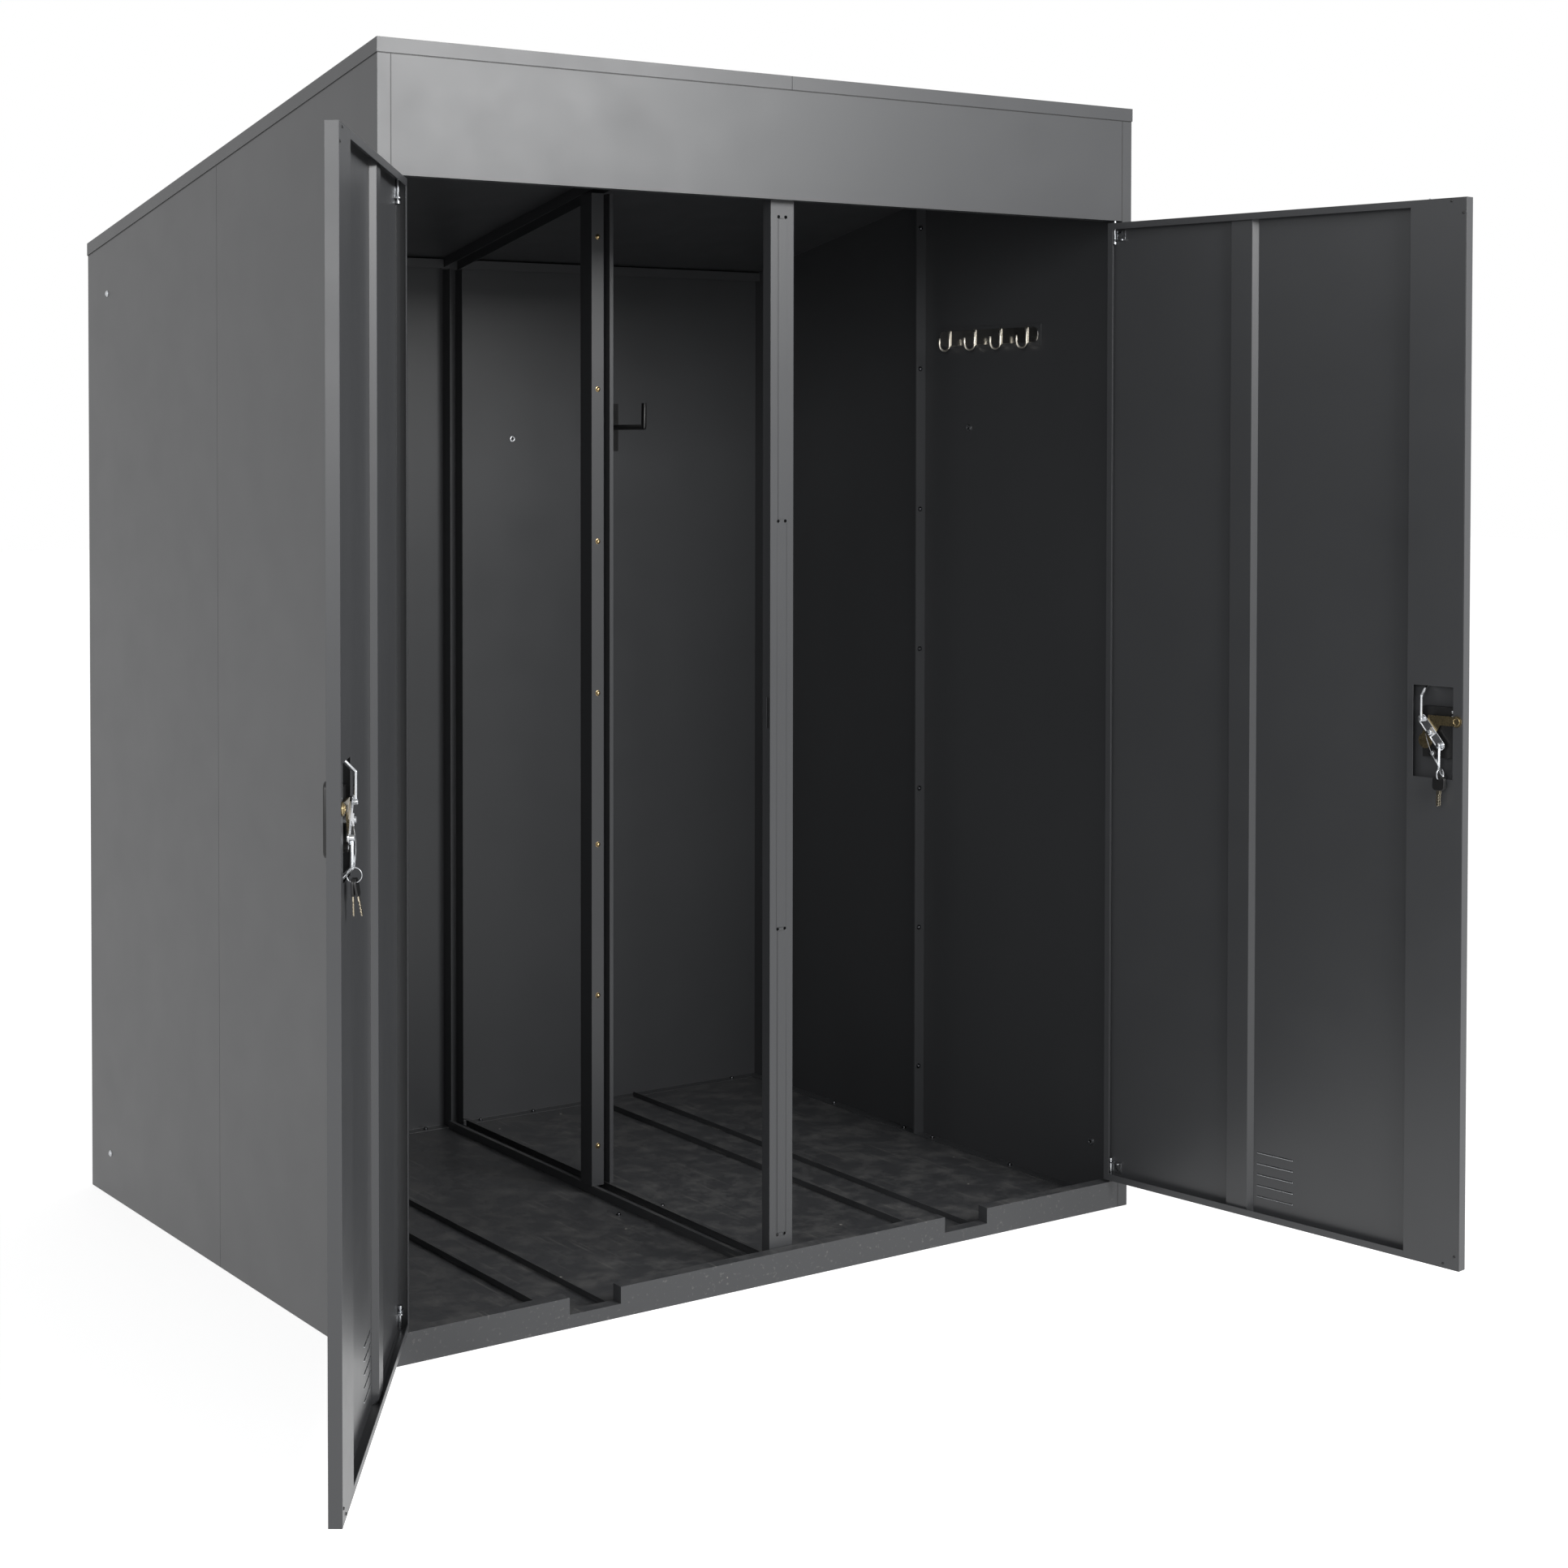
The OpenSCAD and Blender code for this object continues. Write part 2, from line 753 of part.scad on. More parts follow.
// A flush plate with a folding lever, on the outside
module handle() {
    plate_face = front - handle_t;
    straight = handle_height - handle_width;
    color(black)
        translate([lock_x, 0, lock_z]) {
            block([-handle_width / 2, plate_face, -straight / 2], [handle_width / 2, front, straight / 2]);
            for (z = [-straight / 2, straight / 2])
                translate([0, plate_face, z])
                    rotate([-90, 0, 0]) cylinder(d = handle_width, h = handle_t);
            block([-lever_width / 2, plate_face - lever_t, -straight / 2],
                  [lever_width / 2, plate_face, straight / 2]);
        }
}

module left_door_panel() { swung(left_open_angle) door_panel(); }
module left_door_rib() { swung(left_open_angle) door_rib(); }
module left_lock_channel() { swung(left_open_angle) lock_channel_piece(); }
module left_hinge_pins() { swung(left_open_angle) hinge_pins(); }
module left_lock_case() { swung(left_open_angle) lock_case(); }
module left_lock_cam() { swung(left_open_angle) lock_cam(); }
module left_lock_rods() { swung(left_open_angle) lock_rods(); }
module left_latch() { swung(left_open_angle) latch(); }
module left_handle() { swung(left_open_angle) handle(); }

module right_door_panel() { right_hand() swung(right_open_angle) door_panel(); }
module right_door_rib() { right_hand() swung(right_open_angle) door_rib(); }
module right_lock_channel() { right_hand() swung(right_open_angle) lock_channel_piece(); }
module right_hinge_pins() { right_hand() swung(right_open_angle) hinge_pins(); }
module right_lock_case() { right_hand() swung(right_open_angle) lock_case(); }
module right_lock_cam() { right_hand() swung(right_open_angle) lock_cam(); }
module right_lock_rods() { right_hand() swung(right_open_angle) lock_rods(); }
module right_latch() { right_hand() swung(right_open_angle) latch(); }
module right_handle() { right_hand() swung(right_open_angle) handle(); }

left_wall_front();
left_wall_rear();
right_wall_front();
right_wall_rear();
back_wall_left();
back_wall_right();
roof_left();
roof_right();
fascia();
front_sill();
left_floor();
right_floor();
left_wheel_channel();
right_wheel_channel();
center_post();
mid_post();
rear_post();
floor_track();
ceiling_beam();
left_coat_rail();
right_coat_rail();
left_coat_hooks();
right_coat_hooks();
left_wheel_hook();
right_wheel_hook();
left_door_panel();
left_door_rib();
left_lock_channel();
left_hinge_pins();
left_lock_case();
left_lock_cam();
left_lock_rods();
left_latch();
left_handle();
right_door_panel();
right_door_rib();
right_lock_channel();
right_hinge_pins();
right_lock_case();
right_lock_cam();
right_lock_rods();
right_latch();
right_handle();
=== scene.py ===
# %% [markdown]
# # Dressing a double bicycle locker
# The locker is folded from sheet steel: two bays side by side, a roof that falls to the rear, and two doors
# that swing outwards. Its solid model is already made, at its real size and place. This lesson takes that
# model as a fixed frame, sets the camera and the light, gives each surface its finish, and adds the small
# hardware.
#
# The first step loads the frame. Everything is in metres, so a value in millimetres is multiplied by MM.
# The box round the bare frame is kept, because the dressed locker must not outgrow it.

# %% Load the frame
import json
import math

import bpy
from mathutils import Matrix, Vector


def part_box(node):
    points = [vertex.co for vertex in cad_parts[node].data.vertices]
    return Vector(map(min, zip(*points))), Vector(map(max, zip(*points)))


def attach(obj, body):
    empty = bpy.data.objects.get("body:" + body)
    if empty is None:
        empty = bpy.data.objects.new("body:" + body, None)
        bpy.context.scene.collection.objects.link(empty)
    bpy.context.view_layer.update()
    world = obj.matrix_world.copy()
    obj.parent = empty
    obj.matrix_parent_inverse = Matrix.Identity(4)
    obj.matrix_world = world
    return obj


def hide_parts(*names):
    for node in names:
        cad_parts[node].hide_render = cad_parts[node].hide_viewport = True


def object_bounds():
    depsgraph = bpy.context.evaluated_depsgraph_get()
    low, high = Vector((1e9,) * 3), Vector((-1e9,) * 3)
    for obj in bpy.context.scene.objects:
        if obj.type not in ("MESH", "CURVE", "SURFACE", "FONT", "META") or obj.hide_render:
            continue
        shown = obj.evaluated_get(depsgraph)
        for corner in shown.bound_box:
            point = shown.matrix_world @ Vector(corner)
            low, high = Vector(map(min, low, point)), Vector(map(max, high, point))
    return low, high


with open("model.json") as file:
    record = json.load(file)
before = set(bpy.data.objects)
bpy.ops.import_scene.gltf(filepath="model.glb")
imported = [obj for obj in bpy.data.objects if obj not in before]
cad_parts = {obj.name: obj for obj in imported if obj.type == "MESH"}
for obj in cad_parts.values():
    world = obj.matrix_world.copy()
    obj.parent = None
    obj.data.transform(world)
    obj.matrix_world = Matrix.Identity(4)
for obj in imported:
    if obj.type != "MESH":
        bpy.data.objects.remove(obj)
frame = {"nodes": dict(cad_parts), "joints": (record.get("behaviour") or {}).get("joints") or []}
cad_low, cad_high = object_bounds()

MM = 0.001

# %% [markdown]
# ## Camera
# A long lens from a little below eye level, in front of the left-hand corner. The picture was cropped after
# it was taken, so the lens axis meets the square picture above and to the left of its middle. A camera
# shift does the same, and the uprights stay parallel. Turning the camera instead would make the uprights
# lean.

# %% Camera
PICTURE_SIDE = 1932
bpy.context.scene.view_settings.view_transform = "Standard"
SENSOR = 36
focal_px = 3217.84
axis_px = Vector((882.13, 616.38))
camera_place = Vector((-2800.5, -4528.3, 1551.6)) * MM
camera_pitch, camera_roll, camera_yaw = (math.radians(a) for a in (-1.376, -0.05, -34.217))

lens = bpy.data.cameras.new("camera")
lens.sensor_width = SENSOR
lens.lens = focal_px * SENSOR / PICTURE_SIDE
lens.shift_x = 0.5 - axis_px.x / PICTURE_SIDE
lens.shift_y = axis_px.y / PICTURE_SIDE - 0.5
camera = bpy.data.objects.new("camera", lens)
camera.location = camera_place
camera.rotation_euler = (math.pi / 2 + camera_pitch, camera_roll, camera_yaw)
bpy.context.scene.collection.objects.link(camera)
bpy.context.scene.camera = camera
print("camera: lens", round(lens.lens, 1), "mm, shift", round(lens.shift_x, 3), round(lens.shift_y, 3))

# %% [markdown]
# ## Colours and nodes
# A colour is given as an sRGB hex value, but a shader works in linear light, so one function turns
# the one into the other. A second function adds a shader node, sets its properties, and sets or links its
# inputs. That keeps each material below as short as a recipe.

# %% Colour and node helpers
def linear(hex_colour):
    """An sRGB hex colour as linear red, green, blue and alpha."""
    channels = [int(hex_colour[i:i + 2], 16) / 255 for i in (1, 3, 5)]
    return [c / 12.92 if c <= 0.04045 else ((c + 0.055) / 1.055) ** 2.4 for c in channels] + [1.0]


def add(tree, kind, inputs=None, **settings):
    """Add a node with its settings; an input is linked to a socket or set to a value."""
    made = tree.nodes.new(kind)
    for name, value in settings.items():
        setattr(made, name, value)
    for name, value in (inputs or {}).items():
        if isinstance(value, bpy.types.NodeSocket):
            tree.links.new(value, made.inputs[name])
        else:
            made.inputs[name].default_value = value
    return made


def new_material(name):
    """An empty node material with its output, the object's own coordinates and a shader."""
    material = bpy.data.materials.new(name)
    material.use_nodes = True
    tree = material.node_tree
    tree.nodes.clear()
    place = add(tree, "ShaderNodeTexCoord").outputs["Object"]
    shader = add(tree, "ShaderNodeBsdfPrincipled")
    add(tree, "ShaderNodeOutputMaterial", {"Surface": shader.outputs["BSDF"]})
    return material, tree, place, shader


# %% [markdown]
# ## Studio
# A white studio: a pale floor without an edge, one large soft light high on the right and a smaller one on
# the left. The backdrop should read as white without flooding the locker with light. The Light Path node
# tells which kind of ray asks: the camera and the reflections see plain white, while the light that falls
# on the paint stays modest. The floor works the same way, and its diffuse part keeps the locker's shadow.

# %% Backdrop and floor
STUDIO_FILL = 0.42
FLOOR_LIFT = 0.68
FLOOR_SIDE = 60


def seen_directly(tree):
    """1 for rays from the camera, a reflection or a clear material, 0 for diffuse light."""
    path = add(tree, "ShaderNodeLightPath")
    mirrored = add(tree, "ShaderNodeMath", operation="MAXIMUM",
                   inputs={0: path.outputs["Is Glossy Ray"], 1: path.outputs["Is Transmission Ray"]})
    seen = add(tree, "ShaderNodeMath", operation="MAXIMUM",
               inputs={0: path.outputs["Is Camera Ray"], 1: mirrored.outputs[0]})
    return seen.outputs[0]


def make_backdrop():
    """White to the eye, softer as a light."""
    world = bpy.data.worlds.new("studio")
    world.use_nodes = True
    tree = world.node_tree
    tree.nodes.clear()
    strength = add(tree, "ShaderNodeMapRange",
                   {"Value": seen_directly(tree), "To Min": STUDIO_FILL, "To Max": 1.0})
    light = add(tree, "ShaderNodeBackground",
                {"Color": linear("#FFFFFF"), "Strength": strength.outputs["Result"]})
    add(tree, "ShaderNodeOutputWorld", {"Surface": light.outputs["Background"]})
    bpy.context.scene.world = world


def make_floor():
    """A pale seamless floor under the locker."""
    bpy.ops.object.select_all(action="DESELECT")
    bpy.ops.mesh.primitive_plane_add(size=FLOOR_SIDE, location=(0, 0, cad_low.z))
    floor = bpy.context.object
    floor.name = "studio_floor"
    material, tree, _, shader = new_material("pale_studio_floor")
    shader.inputs["Base Color"].default_value = linear("#E6E6E6")
    shader.inputs["Roughness"].default_value = 0.9
    shader.inputs["Emission Color"].default_value = linear("#FFFFFF")
    lift = add(tree, "ShaderNodeMath", {0: seen_directly(tree), 1: FLOOR_LIFT}, operation="MULTIPLY")
    tree.links.new(lift.outputs[0], shader.inputs["Emission Strength"])
    floor.data.materials.append(material)


make_backdrop()
make_floor()
print("studio: fill", STUDIO_FILL, "floor", FLOOR_SIDE, "m")

# %% [markdown]
# A soft light is a rectangle that glows. Its power follows from the brightness wanted on its face: watts
# are brightness times area times pi. The high right-hand light stands where the panel over the doors
# mirrors it towards the camera, so that panel shines on its left side and falls off to the right.

# %% Soft lights
def soft_light(name, place, aim, width, height, brightness):
    """A glowing rectangle that faces a point."""
    lamp = bpy.data.lights.new(name, "AREA")
    lamp.shape = "RECTANGLE"
    lamp.size, lamp.size_y = width, height
    lamp.energy = brightness * width * height * math.pi
    light = bpy.data.objects.new(name, lamp)
    light.location = place
    light.rotation_euler = (Vector(aim) - Vector(place)).to_track_quat("-Z", "Y").to_euler()
    bpy.context.scene.collection.objects.link(light)


soft_light("high_right_light", place=(1.05, -4.9, 2.95), aim=(-0.2, -0.6, 1.9),
           width=3.0, height=1.3, brightness=15.5)
soft_light("front_left_light", place=(-4.1, -4.0, 2.5), aim=(-1.0, -0.9, 1.2),
           width=1.5, height=1.8, brightness=8.0)

# %% [markdown]
# ## Powder coat
# Every sheet is steel with a baked polyester powder coat in anthracite grey. Powder melts into an even
# satin film with a faint orange peel: low bumps a few millimetres apart. It was sprayed in one colour, so
# only a slight cloudiness and the uneven sheen of wiped-over panels tell it from plastic. The peel is drawn
# a little coarser than the real one, so that it shows at this picture's size. It rises from each face's
# true normal, so that a flat sheet with a rounded edge still shades flat. Noise in the object's own
# coordinates gives all of this without an image.

# %% Powder coat
COAT_LIGHT, COAT_DARK = "#464749", "#3E3F41"
COAT_SHEEN, WORN_SHEEN = 0.34, 0.42
PEEL_SIZE = 4 * MM
PEEL_DEPTH = 0.006 * MM
CLOUD_SIZE = 420 * MM
WIPE_SIZE = 90 * MM


def link_surface(tree, shader, tone, rough, bump):
    """Link a tone, a roughness and a bump to a shader."""
    tree.links.new(tone.outputs[2], shader.inputs["Base Color"])
    tree.links.new(rough.outputs["Result"], shader.inputs["Roughness"])
    tree.links.new(bump.outputs["Normal"], shader.inputs["Normal"])


def powder_coat(name, sheen):
    """Satin anthracite powder coat; also returns its colour and roughness sockets."""
    material, tree, place, shader = new_material(name)
    cloud = add(tree, "ShaderNodeTexNoise", {"Vector": place, "Scale": 1 / CLOUD_SIZE, "Detail": 3.0})
    tone = add(tree, "ShaderNodeMix", data_type="RGBA",
               inputs={0: cloud.outputs["Fac"], 6: linear(COAT_DARK), 7: linear(COAT_LIGHT)})
    wipe = add(tree, "ShaderNodeTexNoise", {"Vector": place, "Scale": 1 / WIPE_SIZE, "Detail": 4.0})
    rough = add(tree, "ShaderNodeMapRange",
                {"Value": wipe.outputs["Fac"], "To Min": sheen - 0.04, "To Max": sheen + 0.06})
    peel = add(tree, "ShaderNodeTexNoise", {"Vector": place, "Scale": 1 / PEEL_SIZE, "Detail": 1.0})
    flat = add(tree, "ShaderNodeNewGeometry").outputs["True Normal"]
    bump = add(tree, "ShaderNodeBump",
               {"Height": peel.outputs["Fac"], "Distance": PEEL_DEPTH, "Strength": 1.0, "Normal": flat})
    link_surface(tree, shader, tone, rough, bump)
    return material, tree, place, shader, tone.outputs[2], rough.outputs["Result"]


coat = powder_coat("anthracite_powder_coat", COAT_SHEEN)[0]
print("powder coat:", coat.name)

# %% [markdown]
# ## Walked-on powder coat
# The floor sheets, the wheel channels and the sill are rolled and walked over every day. Dust settles on
# what faces upwards, hard treads leave pale scuffs along the way in, and grit knocks small chips through to
# the pale primer. Three masks do this over the same coat: the surface's own upward normal for dust, noise
# stretched along the depth for scuffs, and scattered cells for chips. A painted image could show the same,
# but masks need no unwrapping.

# %% Walked-on powder coat
DUST_TONE, SCUFF_TONE, PRIMER_TONE = "#7B7A77", "#8B8985", "#A8A59E"
DUST_SIZE = 70 * MM
SCUFF_WIDTH = 7 * MM
SCUFF_LENGTH = 160 * MM
CHIP_SPACING = 95 * MM
CHIP_SHARE = 0.035


def walked_on_coat():
    """The powder coat with dust, scuffs and chips."""
    material, tree, place, shader, tone, rough = powder_coat("walked_on_powder_coat", WORN_SHEEN)
    normal = add(tree, "ShaderNodeNewGeometry").outputs["Normal"]
    upward = add(tree, "ShaderNodeSeparateXYZ", {"Vector": normal}).outputs["Z"]
    drift = add(tree, "ShaderNodeTexNoise",
                {"Vector": place, "Scale": 1 / DUST_SIZE, "Detail": 6.0, "Roughness": 0.7})
    settled = add(tree, "ShaderNodeMapRange",
                  {"Value": drift.outputs["Fac"], "From Min": 0.45, "From Max": 0.75, "To Max": 0.4})
    dust = add(tree, "ShaderNodeMath", operation="MULTIPLY", use_clamp=True,
               inputs={0: settled.outputs["Result"], 1: upward})
    dusty = add(tree, "ShaderNodeMix", data_type="RGBA",
                inputs={0: dust.outputs[0], 6: tone, 7: linear(DUST_TONE)})

    along = add(tree, "ShaderNodeMapping", {"Vector": place, "Rotation": (0, 0, 0.06),
                                            "Scale": (1 / SCUFF_WIDTH, 1 / SCUFF_LENGTH, 1 / SCUFF_WIDTH)})
    tread = add(tree, "ShaderNodeTexNoise", {"Vector": along.outputs["Vector"], "Scale": 1.0, "Detail": 3.0})
    scuff = add(tree, "ShaderNodeMapRange",
                {"Value": tread.outputs["Fac"], "From Min": 0.62, "From Max": 0.76, "To Max": 0.35})
    scuffed = add(tree, "ShaderNodeMix", data_type="RGBA",
                  inputs={0: scuff.outputs["Result"], 6: dusty.outputs[2], 7: linear(SCUFF_TONE)})

    grit = add(tree, "ShaderNodeTexVoronoi", {"Vector": place, "Scale": 1 / CHIP_SPACING})
    chip = add(tree, "ShaderNodeMapRange",
               {"Value": grit.outputs["Distance"], "From Min": CHIP_SHARE, "From Max": CHIP_SHARE * 0.6})
    chipped = add(tree, "ShaderNodeMix", data_type="RGBA",
                  inputs={0: chip.outputs["Result"], 6: scuffed.outputs[2], 7: linear(PRIMER_TONE)})
    dull = add(tree, "ShaderNodeMath", {0: rough, 1: dust.outputs[0]}, operation="ADD", use_clamp=True)
    tree.links.new(chipped.outputs[2], shader.inputs["Base Color"])
    tree.links.new(dull.outputs[0], shader.inputs["Roughness"])
    return material


worn_coat = walked_on_coat()
print("walked-on coat:", worn_coat.name)

# %% [markdown]
# ## Metals
# Eight bare metals show on the hardware. Zinc plate is bright but cloudy, and a little matt. The coat hooks
# are satin nickel, a warmer white. Chrome on the lock's crank and the polished stainless steel of the coat
# rail are smooth. The latch is zinc with a yellow chromate film, whose colour drifts between straw and
# olive. The domed fixings are brass, the keys' blades are nickel silver, a paler brass, and the bolts are
# blackened. All are the same recipe with other values: a drifting tone, a drifting roughness and fine
# scratches. A metal takes its colour from Base Color with Metallic at 1.

# %% Metals
SCRATCH_SIZE = 0.8 * MM
SCRATCH_DEPTH = 0.004 * MM


def bare_metal(name, light_tone, dark_tone, drift_size, smooth, matt):
    """A metal whose tone and roughness drift, with fine scratches."""
    material, tree, place, shader = new_material(name)
    drift = add(tree, "ShaderNodeTexNoise",
                {"Vector": place, "Scale": 1 / drift_size, "Detail": 4.0, "Roughness": 0.6})
    tone = add(tree, "ShaderNodeMix", data_type="RGBA",
               inputs={0: drift.outputs["Fac"], 6: linear(dark_tone), 7: linear(light_tone)})
    rough = add(tree, "ShaderNodeMapRange", {"Value": drift.outputs["Fac"], "From Min": 0.3, "From Max": 0.7,
                                             "To Min": matt, "To Max": smooth})
    scratch = add(tree, "ShaderNodeTexNoise", {"Vector": place, "Scale": 1 / SCRATCH_SIZE, "Detail": 2.0})
    bump = add(tree, "ShaderNodeBump",
               {"Height": scratch.outputs["Fac"], "Distance": SCRATCH_DEPTH, "Strength": 0.6})
    link_surface(tree, shader, tone, rough, bump)
    shader.inputs["Metallic"].default_value = 1.0
    return material


zinc = bare_metal("bright_zinc_plate", "#CDCFD1", "#A4A7AB", 7 * MM, 0.22, 0.40)
chrome = bare_metal("chrome_plate", "#DEDFE1", "#C8CACD", 12 * MM, 0.07, 0.16)
satin_nickel = bare_metal("satin_nickel_plate", "#DEDAD0", "#C4BFB3", 15 * MM, 0.24, 0.34)
stainless = bare_metal("polished_stainless_steel", "#CFCDC9", "#B9B6B0", 30 * MM, 0.10, 0.20)
yellow_zinc = bare_metal("yellow_chromated_zinc", "#B09F7A", "#7F7358", 12 * MM, 0.22, 0.32)
brass = bare_metal("turned_brass", "#CDB486", "#9E8862", 5 * MM, 0.16, 0.28)
nickel_silver = bare_metal("nickel_silver", "#CBC2AE", "#A69C88", 9 * MM, 0.18, 0.30)
blackened = bare_metal("blackened_steel", "#6E6F72", "#4A4B4E", 4 * MM, 0.18, 0.32)
metals = (zinc, chrome, satin_nickel, stainless, yellow_zinc, brass, nickel_silver, blackened)
print("metals:", [metal.name for metal in metals])

# %% [markdown]
# ## Black plastic and dip coating
# The lock case, the outer handle and the key heads are moulded ABS: black with a fine spark-eroded grain,
# so they shine only softly. The wheel hooks are steel dipped in black vinyl, which is smoother and runs a
# little before it sets. One recipe serves both: the grain's size and depth and the roughness tell them
# apart.

# %% Black plastic and dip coating
def black_skin(name, light_tone, dark_tone, grain_size, grain_depth, roughness):
    """A black moulded or dipped surface with a grain."""
    material, tree, place, shader = new_material(name)
    grain = add(tree, "ShaderNodeTexNoise", {"Vector": place, "Scale": 1 / grain_size, "Detail": 3.0})
    tone = add(tree, "ShaderNodeMix", data_type="RGBA",
               inputs={0: grain.outputs["Fac"], 6: linear(dark_tone), 7: linear(light_tone)})
    rough = add(tree, "ShaderNodeMapRange",
                {"Value": grain.outputs["Fac"], "To Min": roughness - 0.06, "To Max": roughness + 0.08})
    bump = add(tree, "ShaderNodeBump",
               {"Height": grain.outputs["Fac"], "Distance": grain_depth, "Strength": 0.7})
    link_surface(tree, shader, tone, rough, bump)
    return material


black_abs = black_skin("moulded_black_abs", "#0F0F10", "#09090A", 1.2 * MM, 0.04 * MM, 0.42)
black_dip = black_skin("black_vinyl_dip", "#151516", "#0E0E0F", 9 * MM, 0.10 * MM, 0.34)
print("blacks:", black_abs.name, black_dip.name)

# %% [markdown]
# ## Finishes on the frame
# Each solid gets the finish of the real piece. Folded sheet and cast plastic have no razor edges, so a live
# Bevel modifier rounds every sharp edge by a fraction of a millimetre. It catches a thin line of light, as
# paint on a folded edge does. The frame's triangles are loose, so a Weld modifier joins them first.
# Modifiers leave the frame's own meshes as they are.

# %% Finishes on the frame
EDGE_ROUND = 0.45 * MM
WELD_GAP = 0.01 * MM
FINISH_BY_WORD = {
    "floor": worn_coat, "wheel_channel": worn_coat, "front_sill": worn_coat, "floor_track": worn_coat,
    "hinge_pins": zinc, "lock_rods": zinc, "coat_hooks": satin_nickel, "lock_cam": chrome,
    "latch": yellow_zinc, "lock_case": black_abs, "handle": black_abs, "wheel_hook": black_dip,
}


def round_edges(piece, radius):
    """Join the loose triangles and round the sharp edges, as live modifiers."""
    weld = piece.modifiers.new("weld", "WELD")
    weld.merge_threshold = WELD_GAP
    bevel = piece.modifiers.new("edge_round", "BEVEL")
    bevel.width, bevel.segments = radius, 2
    bevel.limit_method, bevel.angle_limit = "ANGLE", math.radians(40)
    bevel.harden_normals = True


for name, piece in frame["nodes"].items():
    finish = next((f for word, f in FINISH_BY_WORD.items() if word in name), coat)
    piece.data.materials.clear()
    piece.data.materials.append(finish)
    round_edges(piece, EDGE_ROUND)
print("finished nodes:", len(frame["nodes"]))

# %% [markdown]
# ## How the small pieces are made
# Each kind of fixing is modelled once at the origin, standing on z = 0 with its top upwards, and is then
# copied to its places. Two helpers start a piece from a cylinder or a block. Another selects faces, edges
# or points by where they are and which way they point, as a click would. The last ones join the copies into
# one object and let it ride on its body.

# %% Selecting
def begin():
    """Leave edit mode and let go of everything."""
    if bpy.context.mode != "OBJECT":
        bpy.ops.object.mode_set(mode="OBJECT")
    bpy.ops.object.select_all(action="DESELECT")


def pick(kind, test):
    """Go to edit mode with only the parts selected whose middle and direction pass the test."""
    mesh = bpy.context.object.data
    bpy.ops.object.mode_set(mode="EDIT")
    bpy.ops.mesh.select_mode(type=kind)
    bpy.ops.mesh.select_all(action="DESELECT")
    bpy.ops.object.mode_set(mode="OBJECT")
    if kind == "FACE":
        for face in mesh.polygons:
            face.select = test(face.center, face.normal)
    elif kind == "EDGE":
        for edge in mesh.edges:
            a, b = (mesh.vertices[i].co for i in edge.vertices)
            edge.select = test((a + b) / 2, (b - a).normalized())
    else:
        for point in mesh.vertices:
            point.select = test(point.co, point.normal)
    bpy.ops.object.mode_set(mode="EDIT")


def pick_top():
    """Pick the faces that look up."""
    pick("FACE", lambda at, way: way.z > 0.9)


# %% Starting and shaping
def turned(radius, height, foot=0.0, sides=32, at=(0, 0), turn=(0, 0, 0)):
    """Start from a cylinder with its foot at a height, turned round its middle if need be."""
    begin()
    bpy.ops.mesh.primitive_cylinder_add(vertices=sides, radius=radius, depth=height,
                                        location=(*at, foot + height / 2), rotation=turn)
    bpy.ops.object.transform_apply(location=True, rotation=True)
    return bpy.context.object


def block(size, middle):
    """Start from a block of a size round its middle."""
    begin()
    bpy.ops.mesh.primitive_cube_add(size=1, location=middle)
    bpy.context.object.scale = size
    bpy.ops.object.transform_apply(location=True, scale=True)
    return bpy.context.object


def pull(x=0, y=0, z=0):
    """Extrude the picked faces along a way."""
    bpy.ops.mesh.extrude_region_move(TRANSFORM_OT_translate={"value": (x, y, z)})


def keep_side(at, way, fill=True):
    """Cut the piece with a plane and keep the side that the plane looks to."""
    bpy.ops.object.mode_set(mode="EDIT")
    bpy.ops.mesh.select_all(action="SELECT")
    bpy.ops.mesh.bisect(plane_co=at, plane_no=way, clear_inner=True, use_fill=fill)


# %% Finishing a piece
def done(*finishes):
    """Leave edit mode, smooth what is round, and give the pattern its finishes."""
    if bpy.context.mode != "OBJECT":
        bpy.ops.object.mode_set(mode="OBJECT")
    bpy.ops.object.shade_smooth_by_angle(angle=math.radians(38))
    pattern = bpy.context.object
    for finish in finishes:
        pattern.data.materials.append(finish)
    return pattern


def apply_modifier(piece, kind, **settings):
    """Add a modifier with its settings and apply it."""
    bpy.context.view_layer.objects.active = piece
    modifier = piece.modifiers.new(kind.lower(), kind)
    for name, value in settings.items():
        setattr(modifier, name, value)
    bpy.ops.object.modifier_apply(modifier=modifier.name)


def soften(piece, width, segments=2, angle=40):
    """Round the edges that are sharper than an angle."""
    apply_modifier(piece, "BEVEL", width=width, segments=segments, limit_method="ANGLE",
                   angle_limit=math.radians(angle))


# %% Cutting, joining and setting out
def cut(piece, cutter):
    """Cut one piece's shape out of another."""
    apply_modifier(piece, "BOOLEAN", operation="DIFFERENCE", object=cutter, solver="EXACT")
    bpy.data.objects.remove(cutter)


def joined(*pieces):
    """Join pieces into the first one."""
    begin()
    for piece in pieces:
        piece.select_set(True)
    bpy.context.view_layer.objects.active = pieces[0]
    bpy.ops.object.join()
    return pieces[0]


